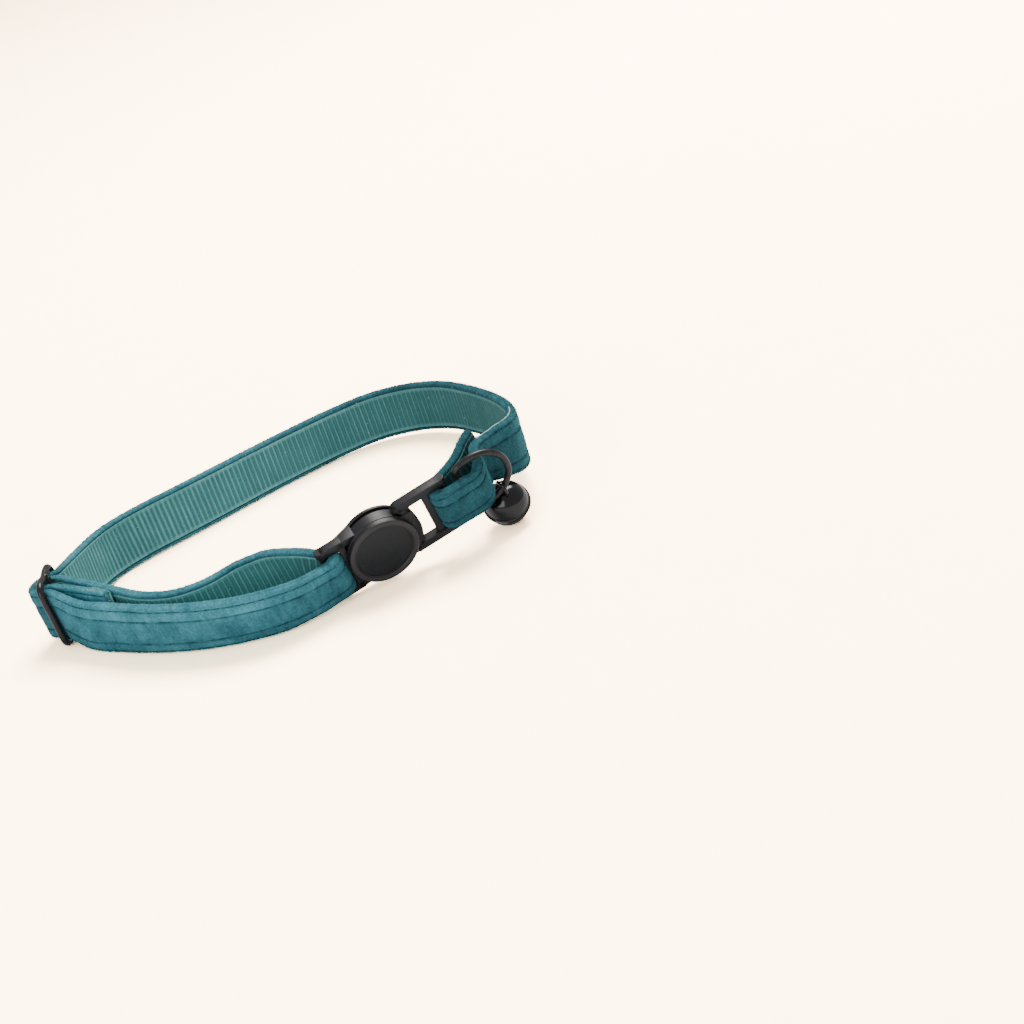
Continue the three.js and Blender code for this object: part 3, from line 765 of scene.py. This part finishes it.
# Ribbon lining: ribs across its width, with a corded edge on each side
RIBS = round(STRAP_LENGTH / RIB_PITCH)
ribbon_half = RIBBON_WIDTH / 2
face_count = 14
rib_half = ribbon_half - SELVEDGE
ribbon_profile = [(-ribbon_half, -0.98), (-ribbon_half, -0.60), (-ribbon_half, -0.30)]
ribbon_profile += [(0.0, -0.30), (ribbon_half, -0.30), (ribbon_half, -0.60), (ribbon_half, -0.98)]
cord_points = [(0.06, 1.10), (0.16, 1.16), (0.26, 1.10), (0.32, 1.0)]
ribbon_profile += [(ribbon_half - inset, -out) for inset, out in cord_points]
ribbon_profile += [(rib_half - 2 * rib_half * k / face_count, -1.0) for k in range(face_count + 1)][1:-1]
ribbon_profile += [(-ribbon_half + inset, -out) for inset, out in reversed(cord_points)]


def ribbon_shape(s, j, place):
    across, out = ribbon_profile[j]
    # the mask paints the rib crests lit, softer towards the back-left; the sides and corded edges take set
    # shares of the crest colour
    if out > -0.7:
        return across, out, 0.2
    turn = s / STRAP_LENGTH * RIBS + 0.035 * noise.noise(Vector((s * 0.4, across * 0.25, 6)))
    t = turn - math.floor(turn)
    behind = min(1.0, max(0.0, (place[1] + 20) / 12))
    left = min(1.0, max(0.0, (5 - place[0]) / 35)) * behind
    crest = math.exp(-(((t - 0.5) / (0.135 + 0.085 * left)) ** 2))
    minor = math.exp(-((min(t, 1 - t) / 0.10) ** 2)) * 0.28 * (1 - left)
    uneven = 0.8 + 0.4 * noise.noise(Vector((math.floor(turn) * 1.7, across * 0.2, 9)))
    if abs(across) >= rib_half - 0.01:
        wave = 0.5 + 0.5 * noise.noise(Vector((s * 0.9, across, 3)))
        return across, out + 0.02 - 0.05 * crest, 0.62 + 0.2 * crest + 0.3 * wave - 0.35 * left
    height = 0.15 * crest * uneven + 0.04 * minor
    return across, -0.90 - height, 0.72 * min(1.0, crest * uneven + minor)


bm = sweep(RIBS * 8, ribbon_profile, ribbon_shape)
finish(bm, "ribbon_lining", ribbon_cloth, ["strap_ribbon"], smooth=0)


def on_strap(s, across, out):
    """A point of the strap, with the strap's own axes there."""
    columns = np.concatenate([line[:, :3], tangent, top, outward, line[:, 6:8]], axis=1)
    row = np.array([np.interp(s, even, columns[:, k]) for k in range(14)])
    p = row[:3] + row[6:9] * (across * row[13]) + row[9:12] * (out * row[12])
    return Vector(p), Vector(row[3:6]), Vector(row[6:9]), Vector(row[9:12])


# Stitches, sunk in the two dashed lines of the outer face
bm = bmesh.new()
for place in (5.05, -5.25):
    count = int(STRAP_LENGTH / STITCH)
    for i in range(count):
        s = (i + 0.5) * STITCH
        out = 1.0 + face_shape(s, place)[0] + 0.02
        p, along, up, away = on_strap(s, place + wander(s, 5.0 if place > 0 else 26.0), out)
        m = Matrix((along, up, away)).transposed().to_4x4()
        size = Matrix.Diagonal((0.78, 0.13, 0.12, 1))
        bmesh.ops.create_uvsphere(
            bm, u_segments=6, v_segments=5, radius=1, matrix=Matrix.Translation(p) @ m @ size
        )
finish(bm, "edge_stitches", thread, smooth=0)


# Pile: short hairs of the velvet, thickest along its rims
random.seed(11)


def tuft(rows, faces, p, way, side, length, breadth):
    """A hair: a thin three-sided spike with a closed foot."""
    start = len(rows)
    third = way.cross(side).normalized()
    for turn in range(3):
        a = 2 * math.pi * turn / 3
        rows.append(p + (side * math.cos(a) + third * math.sin(a)) * breadth)
    rows.append(p + way * length)
    faces += [(start, start + 2, start + 1), (start, start + 1, start + 3)]
    faces += [(start + 1, start + 2, start + 3), (start + 2, start, start + 3)]


def pile(name, count, region):
    spots, faces = [], []
    table = np.concatenate([line[:, :3], tangent, top, outward, line[:, 6:8]], axis=1)
    for _ in range(count):
        row = table[random.randrange(len(table))]
        across, out, lean_up, lean_out = region()
        p = Vector(row[:3] + row[6:9] * (across * row[13]) + row[9:12] * (out * row[12]))
        way = Vector(row[6:9] * lean_up + row[9:12] * lean_out + row[3:6] * random.uniform(-0.6, 0.6))
        way.normalize()
        side = way.orthogonal().normalized()
        tuft(spots, faces, p, way, side, random.uniform(0.16, 0.42), random.uniform(0.025, 0.05))
    mesh = bpy.data.meshes.new(name)
    mesh.from_pydata([tuple(v * MM) for v in spots], [], faces)
    mesh.update()
    return link(name, mesh, pile_hair)


def rim_place():
    side = random.choice((-1, 1))
    a = rad(random.uniform(-80, 85))
    across = side * (5.42 + math.cos(a) * 0.56)
    return across, math.sin(a) * 0.98, side * math.cos(a), math.sin(a)


def face_place():
    across = random.uniform(-5.4, 5.4)
    return across, 1.02, random.uniform(-0.8, 0.2), random.uniform(0.35, 1.0)


pile("rim_pile", RIM_HAIRS, rim_place)
pile("face_pile", FACE_HAIRS, face_place)


# Buckle, in its own frame: rounded blocks, turned cup and plate
def block(bm, x0, x1, y0, y1, z0, z1, edge=0.22, near=None, taper=None):
    """A rounded block; near gives another depth range to its low end, taper another outer
    side to its high end."""
    m = Matrix.Translation(((x0 + x1) / 2, (y0 + y1) / 2, (z0 + z1) / 2))
    m = m @ Matrix.Diagonal((x1 - x0, y1 - y0, z1 - z0, 1))
    made = bmesh.ops.create_cube(bm, size=1, matrix=m)
    if near is not None:
        for v in made["verts"]:
            if v.co.x < (x0 + x1) / 2:
                v.co.z = near[0] if v.co.z < (z0 + z1) / 2 else near[1]
            elif abs(v.co.y) > abs(y0 + y1) / 2:
                v.co.y = math.copysign(taper, v.co.y)
    edges = {e for v in made["verts"] for e in v.link_edges}
    bmesh.ops.bevel(
        bm, geom=list(edges), offset=edge, segments=3, profile=0.5, affect="EDGES", material=-1,
        clamp_overlap=True,
    )


def rod(bm, x, y0, y1, z, radius, edge=0.15, sides=32):
    turn = Matrix.Rotation(rad(90), 4, "X")
    m = Matrix.Translation((x, (y0 + y1) / 2, z)) @ turn
    made = bmesh.ops.create_cone(
        bm, cap_ends=True, segments=sides, radius1=radius, radius2=radius, depth=y1 - y0, matrix=m
    )
    rims = {e for v in made["verts"] for e in v.link_edges if e.calc_face_angle(0) > 1.2}
    bmesh.ops.bevel(
        bm, geom=list(rims), offset=edge, segments=2, profile=0.5, affect="EDGES", material=-1,
        clamp_overlap=True,
    )


def turned(bm, rows, segments=96, start=0.0, sweep_angle=360.0):
    """A profile of radius and height spun round the buckle's out axis."""
    verts = [bm.verts.new((r * math.cos(start), r * math.sin(start), z)) for r, z in rows]
    edges = [bm.edges.new(pair) for pair in zip(verts, verts[1:])]
    full = sweep_angle == 360.0
    bmesh.ops.spin(
        bm, geom=verts + edges, cent=(0, 0, 0), axis=(0, 0, 1), angle=rad(sweep_angle),
        steps=segments, use_merge=full, use_duplicate=False,
    )


def closed_up(bm):
    bmesh.ops.remove_doubles(bm, verts=bm.verts, dist=1e-4)
    bmesh.ops.recalc_face_normals(bm, faces=bm.faces)


front = DISC_DEPTH / 2
plate_top = -front + BACK_PLATE
cup_back = plate_top + PLATE_SLOT
pocket_top = front - FACE_SINK - DISC_WALL * 0.75
pocket_radius = disc_radius - DISC_WALL
face_radius = disc_radius - FACE_RIM
rail_half = RAIL_DEPTH / 2
neck_half = rail_inner - 2 * FIT_GAP

bm = bmesh.new()
turned(bm, [
    (0, pocket_top), (pocket_radius, pocket_top), (pocket_radius, cup_back + 0.1),
    (pocket_radius + 0.1, cup_back), (disc_radius - 0.15, cup_back), (disc_radius, cup_back + 0.15),
    (disc_radius, front - 1.55), (disc_radius - 0.10, front - 1.45), (disc_radius - 0.10, front - 1.3),
    (disc_radius, front - 1.2), (disc_radius, front - 0.55), (disc_radius - 0.12, front - 0.22),
    (disc_radius - 0.36, front - 0.04), (disc_radius - 0.62, front), (face_radius + 0.22, front - 0.01),
    (face_radius + 0.08, front - 0.09), (face_radius, front - 0.28), (face_radius - 0.10, front - 0.42),
    (face_radius - 0.26, front - 0.44), (face_radius - 0.42, front - FACE_SINK - 0.01),
    (face_radius * 0.6, front - FACE_SINK + 0.04), (face_radius * 0.25, front - FACE_SINK + 0.06),
    (0, front - FACE_SINK + 0.06),
])
turned(bm, [
    (0, -front + 0.12), (disc_radius * 0.62, -front + 0.12), (disc_radius * 0.66, -front),
    (disc_radius - 0.3, -front), (disc_radius - 0.08, -front + 0.08), (disc_radius, -front + 0.28),
    (disc_radius, plate_top - 0.15), (disc_radius - 0.12, plate_top), (0, plate_top),
])
# post between plate and cup on the strap's side
turned(bm, [
    (pocket_radius + 0.05, plate_top - 0.05), (disc_radius - 0.05, plate_top - 0.05),
    (disc_radius - 0.05, cup_back + 0.05), (pocket_radius + 0.05, cup_back + 0.05),
    (pocket_radius + 0.05, plate_top - 0.05),
], segments=24, start=rad(120), sweep_angle=120.0)
bmesh.ops.holes_fill(bm, edges=[e for e in bm.edges if e.is_boundary], sides=4)
closed_up(bm)
rim_mask = bm.verts.layers.float.new("mask")
for v in bm.verts:
    flat = math.hypot(v.co.x, v.co.y)
    if v.co.z > front - 0.5 and flat > face_radius - 0.15:
        v[rim_mask] = 1.0
block(
    bm, left_cross - 0.22, left_cross + CROSS_BAR, -rail_outer + 0.1, rail_outer - 0.1,
    -rail_half, rail_half, 0.16,
)
for side in (-1, 1):
    y0, y1 = sorted((side * rail_inner, side * rail_outer))
    block(bm, left_bar, left_cross + 1.1, y0, y1, -rail_half, rail_half, 0.13)
    rod(bm, left_bar, y0, y1, 0, rail_half, 0.13)
    block(
        bm, left_cross - 0.1, -3.4, y0 + 0.04, y1 - 0.04, -front + 0.1, rail_half - 0.05, 0.13,
        (-rail_half + 0.05, rail_half - 0.05), 6.6,
    )
    # small web in the corner of rail and cross bar
    web0, web1 = sorted((side * (rail_inner - 0.3), side * (rail_inner + 0.2)))
    block(bm, left_cross - 1.15, left_cross + 0.2, web0, web1, -rail_half + 0.15, rail_half - 0.15, 0.12)
    # gate mark of the moulding on the rail's outer side
    gate = side * (rail_outer - 0.02)
    rod(bm, left_bar + 1.9, gate - 0.05, gate + 0.05, 0, 0.42, 0.03, 20)
rod(bm, left_bar, -rail_inner - 0.4, rail_inner + 0.4, 0, bar_radius, 0.1)
bmesh.ops.transform(bm, matrix=Matrix.Translation(shift) @ basis(buckle), verts=bm.verts)
finish(bm, "buckle_cup", plastic, ["buckle_socket"], smooth=20)

bm = bmesh.new()
tongue_back = cup_back + FIT_GAP
tongue_front = pocket_top - FIT_GAP
yoke_radius = disc_radius + FIT_GAP
yoke_outer = yoke_radius + RAIL_WIDTH * 0.8
yoke_turn = math.degrees(math.asin(min(1.0, rail_outer / yoke_outer)))
turned(bm, [
    (yoke_radius, -rail_half + 0.2), (yoke_radius + 0.2, -rail_half), (yoke_outer - 0.3, -rail_half),
    (yoke_outer, -rail_half + 0.3), (yoke_outer, rail_half - 0.3), (yoke_outer - 0.3, rail_half),
    (yoke_radius + 0.2, rail_half), (yoke_radius, rail_half - 0.2), (yoke_radius, -rail_half + 0.2),
], segments=48, start=rad(-yoke_turn), sweep_angle=2 * yoke_turn)
bmesh.ops.holes_fill(bm, edges=[e for e in bm.edges if e.is_boundary], sides=0)
turned(bm, [
    (0, tongue_back), (pocket_radius - 0.5, tongue_back), (pocket_radius - FIT_GAP, tongue_back + 0.2),
    (pocket_radius - FIT_GAP, tongue_front - 0.2), (pocket_radius - 0.5, tongue_front), (0, tongue_front),
])
closed_up(bm)
for side in (-1, 1):
    y0, y1 = sorted((side * rail_inner, side * rail_outer))
    rail_start = math.sqrt(max(0.0, yoke_radius**2 - rail_inner**2)) + 0.3
    block(bm, rail_start, right_bar, y0, y1, -rail_half, rail_half, 0.13)
    rod(bm, right_bar, y0, y1, 0, rail_half, 0.13)
block(
    bm, disc_radius * 0.6, yoke_radius + 0.8, -neck_half + FIT_GAP, neck_half - FIT_GAP,
    tongue_back, tongue_front, 0.2,
)
block(
    bm, right_cross, right_cross + CROSS_BAR + 0.22, -rail_inner - 0.4, rail_inner + 0.4,
    -bar_radius, bar_radius, 0.16,
)
rod(bm, right_bar, -rail_inner - 0.4, rail_inner + 0.4, 0, bar_radius, 0.1)
bmesh.ops.transform(bm, matrix=Matrix.Translation(shift) @ basis(buckle), verts=bm.verts)
finish(bm, "buckle_yoke", plastic, ["buckle_plug"], smooth=20)


# Wire pieces
def arc(cx, cy, radius, start, end, steps=10):
    turns = [rad(start + (end - start) * i / steps) for i in range(steps + 1)]
    return [(cx + radius * math.cos(t), cy + radius * math.sin(t)) for t in turns]


def bend(p, q, r, steps=10):
    """A quadratic bend from p to r, drawn towards q."""
    out = []
    for i in range(1, steps + 1):
        t = i / steps
        out.append(tuple(p[k] * (1 - t) ** 2 + 2 * q[k] * t * (1 - t) + r[k] * t * t for k in (0, 1)))
    return out


def tube(bm, points, radius, closed, sides=20, flat=1.0):
    """A circle carried along points in a frame's own plane."""
    count = len(points)
    rings = []
    for i, (x, y) in enumerate(points):
        a = points[i - 1] if closed or i else points[0]
        b = points[(i + 1) % count] if closed or i + 1 < count else points[-1]
        way = Vector((b[0] - a[0], b[1] - a[1], 0)).normalized()
        side = Vector((way.y, -way.x, 0))
        m = Matrix((side * radius * flat, Vector((0, 0, radius)), way)).transposed().to_4x4()
        made = bmesh.ops.create_circle(bm, segments=sides, radius=1, matrix=Matrix.Translation((x, y, 0)) @ m)
        rings.append([e for e in {e for v in made["verts"] for e in v.link_edges}])
    pairs = list(zip(rings, rings[1:]))
    if closed:
        pairs.append((rings[-1], rings[0]))
    for a, b in pairs:
        bmesh.ops.bridge_loops(bm, edges=a + b)
    bmesh.ops.holes_fill(bm, edges=[e for e in bm.edges if e.is_boundary], sides=0)


waist = slide_radius * 0.7
sl, sh, sc = slide_pitch, slide_half, SLIDE_CORNER
outline = [(sl, -sh + sc + (2 * sh - 2 * sc) * i / 8) for i in range(8)]
outline += arc(sl - sc, sh - sc, sc, 0, 90)
outline += bend((sl - sc, sh), (sl * 0.25, sh), (0, sh - waist * 0.5))
outline += bend((0, sh - waist * 0.5), (-sl * 0.25, sh), (-sl + sc, sh))
outline += arc(-sl + sc, sh - sc, sc, 90, 180)[1:]
outline += [(-sl, sh - sc - (2 * sh - 2 * sc) * i / 8) for i in range(1, 8)]
outline += arc(-sl + sc, -sh + sc, sc, 180, 270)
outline += bend((-sl + sc, -sh), (-sl * 0.25, -sh), (0, -sh + waist * 0.5))
outline += bend((0, -sh + waist * 0.5), (sl * 0.25, -sh), (sl - sc, -sh))
outline += arc(sl - sc, -sh + sc, sc, 270, 360)[1:-1]
bm = bmesh.new()
tube(bm, outline, slide_radius, True)
rod(bm, 0, -sh + waist * 0.5, sh - waist * 0.5, -slide_inset, slide_radius, 0.1, 24)
for side in (-1, 1):
    bmesh.ops.create_uvsphere(
        bm, u_segments=20, v_segments=12, radius=slide_radius * 1.08,
        matrix=Matrix.Translation((0, side * (sh - waist * 0.5), -slide_inset * 0.5)),
    )
bmesh.ops.recalc_face_normals(bm, faces=bm.faces)
bmesh.ops.transform(bm, matrix=Matrix.Translation(shift) @ basis(slide), verts=bm.verts)
finish(bm, "slide_wire", wire_coat, ["adjuster_slide"], smooth=50)

rc = RING_CORNER
reach = ring_reach - ring_radius
outline = arc(reach, 0, ring_radius, -90, 90, 40)
outline += [(reach + (rc - reach) * i / 4, ring_radius) for i in range(1, 4)]
outline += arc(rc, ring_radius - rc, rc, 90, 180)
outline += [(0, (ring_radius - rc) * (1 - 2 * i / 12)) for i in range(1, 12)]
outline += arc(rc, -ring_radius + rc, rc, 180, 270)
outline += [(rc + (reach - rc) * i / 4, -ring_radius) for i in range(1, 4)]
bm = bmesh.new()
tube(bm, outline, RING_WIRE / 2, True)
bmesh.ops.recalc_face_normals(bm, faces=bm.faces)
bmesh.ops.transform(bm, matrix=Matrix.Translation(shift) @ basis(ring), verts=bm.verts)
finish(bm, "d_ring_wire", wire_coat, ["d_ring"], smooth=50)

# Bell: two thin cups crimped together at a ridge, cross slots below, a wire loop above
bm = bmesh.new()
bmesh.ops.create_uvsphere(bm, u_segments=96, v_segments=96, radius=bell_radius)
for v in bm.verts:
    flat = math.hypot(v.co.x, v.co.y)
    rise_here = BELL_RIDGE * math.exp(-((v.co.z / 0.26) ** 4))
    dent = -0.10 * math.exp(-(((abs(v.co.z) - 0.62) / 0.16) ** 2))
    if flat > 1e-6:
        v.co.x *= 1 + (rise_here + dent) / flat
        v.co.y *= 1 + (rise_here + dent) / flat
hollow = bmesh.ops.create_uvsphere(bm, u_segments=64, v_segments=48, radius=bell_radius - BELL_WALL)
bmesh.ops.reverse_faces(bm, faces=list({f for v in hollow["verts"] for f in v.link_faces}))
shell_mesh = bpy.data.meshes.new("shell")
bm.to_mesh(shell_mesh)
bm.free()
shell = bpy.data.objects.new("shell", shell_mesh)
scene.collection.objects.link(shell)
bm = bmesh.new()
slot_reach = bell_radius * 0.8
for turn in (0, 90):
    m = Matrix.Rotation(rad(turn), 4, "Z") @ Matrix.Translation((0, 0, -bell_radius * 0.65 - 0.5))
    size = Matrix.Diagonal((2 * slot_reach, BELL_SLOT * 0.8, bell_radius * 0.7 + 1, 1))
    bmesh.ops.create_cube(bm, size=1, matrix=m @ size)
cutter_mesh = bpy.data.meshes.new("cutter")
bm.to_mesh(cutter_mesh)
bm.free()
cutter = bpy.data.objects.new("cutter", cutter_mesh)
scene.collection.objects.link(cutter)
cut = shell.modifiers.new("cut", "BOOLEAN")
cut.operation = "DIFFERENCE"
cut.solver = "EXACT"
cut.use_self = True
cut.object = cutter
bpy.context.view_layer.update()
shell_cut = bpy.data.meshes.new_from_object(shell.evaluated_get(bpy.context.evaluated_depsgraph_get()))
bpy.data.objects.remove(shell)
bpy.data.objects.remove(cutter)
bm = bmesh.new()
bm.from_mesh(shell_cut)
loop_bm = bmesh.new()
tube(loop_bm, arc(0, 0, loop_radius, 0, 360, 40)[:-1], BELL_LOOP_WIRE / 2, True, 14)
stand_up = Matrix.Translation((0, 0, loop_centre)) @ Matrix.Rotation(rad(90), 4, "X")
bmesh.ops.transform(loop_bm, matrix=stand_up, verts=loop_bm.verts)
bmesh.ops.recalc_face_normals(loop_bm, faces=loop_bm.faces)
loop_mesh = bpy.data.meshes.new("loop")
loop_bm.to_mesh(loop_mesh)
loop_bm.free()
bm.from_mesh(loop_mesh)
bmesh.ops.transform(bm, matrix=Matrix.Translation(shift) @ basis(bell), verts=bm.verts)
finish(bm, "bell_shell_lacquered", lacquer, ["bell_shell"], smooth=40)

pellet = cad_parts["bell_pellet"]
pellet.data.materials.clear()
pellet.data.materials.append(steel)


# Lint: a few pale fibres caught in the cloth
random.seed(4)
spots, faces = [], []
for _ in range(LINT_FIBRES):
    s = random.uniform(40, STRAP_LENGTH - 6)
    inside = random.random() < 0.7
    across = random.uniform(-4.5, 5.6)
    p, along, up, away = on_strap(s, across, -1.08 if inside else 1.22)
    way = (along * random.uniform(-1, 1) + up * random.uniform(-1, 1)).normalized()
    tuft(spots, faces, p, way, away, random.uniform(0.15, 0.7), random.uniform(0.035, 0.075))
for _ in range(FRAYED_ENDS):
    # raw ends where the tab is folded under
    near_top = random.random() < 0.6
    s = STRAP_LENGTH - (random.uniform(1.8, 6.2) if near_top else random.uniform(0, 0.4))
    across = random.uniform(5.6, 6.1) if near_top else random.uniform(-5.6, 6.0)
    p, along, up, away = on_strap(s, across, random.uniform(-0.9, 0.7))
    way = along * random.uniform(0.7, 1.0) + up * random.uniform(-0.1, 0.25)
    way += away * random.uniform(-0.35, 0.35)
    side = up.cross(way).normalized()
    way.normalize()
    tuft(spots, faces, p, way, side, random.uniform(0.6, 1.7), random.uniform(0.04, 0.08))
mesh = bpy.data.meshes.new("lint")
mesh.from_pydata([tuple(v * MM) for v in spots], [], faces)
mesh.update()
link("lint_fibres", mesh, lint)

# A pale line on the rim beyond the ring: painted highlight along the velvet's fold edge, in the pale lint
# colour
rim_highlight_ring = [(6.03 + 0.12 * math.cos(rad(45 * k)), -0.22 - 0.12 * math.sin(rad(45 * k))) for k in range(8)]


def rim_highlight_shape(s, j, place):
    fade = 0.10 * noise.noise(Vector((s * 0.8, 4, 4)))
    return rim_highlight_ring[j][0] + fade, rim_highlight_ring[j][1], 0.0


rim_highlight_start = nearest(Vector((LOOP_LENGTH * 0.425, LOOP_DEPTH * -0.265, 16)) + shift) - 3.5
rim_highlight_end = nearest(Vector((LOOP_LENGTH * 0.477, LOOP_DEPTH * -0.060, 12)) + shift)
bm = sweep(80, rim_highlight_ring, rim_highlight_shape, rim_highlight_start, rim_highlight_end)
finish(bm, "rim_highlight_line", lint, smooth=0)


# Floor and light
floor_paint, tree, shader = material("floor_cream", Roughness=0.6, Specular_IOR_Level=0.2)
ground_tone = grouped(
    tree, nap, Dark=tone(0.88, 0.64, 0.40), Light=tone(0.91, 0.67, 0.43),
    Patch_Scale=2.5, Grain_Scale=90.0,
)
# the floor is overexposed for the camera alone, so it throws no extra light on the collar
sight = put(tree, "ShaderNodeLightPath").outputs["Is Camera Ray"]
seen = blended(tree, sight, tone(0.80, 0.785, 0.765), ground_tone.outputs["Color"])
lift = put(tree, "ShaderNodeVectorMath", operation="SCALE")
tree.links.new(seen, lift.inputs[0])
tree.links.new(calc(tree, "ADD", calc(tree, "MULTIPLY", sight, 6.8), 1.0), lift.inputs["Scale"])
paint = put(tree, "ShaderNodeBsdfDiffuse")
tree.links.new(lift.outputs[0], paint.inputs["Color"])
tree.links.new(paint.outputs[0], tree.nodes["Material Output"].inputs["Surface"])
bm = bmesh.new()
bmesh.ops.create_grid(bm, x_segments=2, y_segments=2, size=12)
floor_mesh = bpy.data.meshes.new("floor")
bm.to_mesh(floor_mesh)
bm.free()
floor = bpy.data.objects.new("floor", floor_mesh)
scene.collection.objects.link(floor)
floor_mesh.materials.append(floor_paint)


def soft_light(name, place, aim, size, watts, colour):
    data = bpy.data.lights.new(name, "AREA")
    data.shape = "RECTANGLE"
    data.size, data.size_y = size
    data.energy = watts
    data.color = colour
    lamp = bpy.data.objects.new(name, data)
    scene.collection.objects.link(lamp)
    lamp.matrix_world = Matrix.Translation(place) @ (
        (Vector(aim) - Vector(place)).to_track_quat("-Z", "Y").to_matrix().to_4x4()
    )


soft_light("key", (0.30, 0.42, 0.95), (0, 0, 0), (0.6, 0.6), 17.0, (1.0, 0.97, 0.93))
soft_light("fill", (-0.55, -0.9, 0.45), (0, 0, 0.01), (0.8, 0.6), 5.2, (0.95, 0.98, 1.0))

world = bpy.data.worlds.new("studio")
world.use_nodes = True
sky = world.node_tree.nodes["Background"]
sky.inputs["Color"].default_value = (0.97, 0.98, 1.0, 1)
sky.inputs["Strength"].default_value = 0.55
scene.world = world
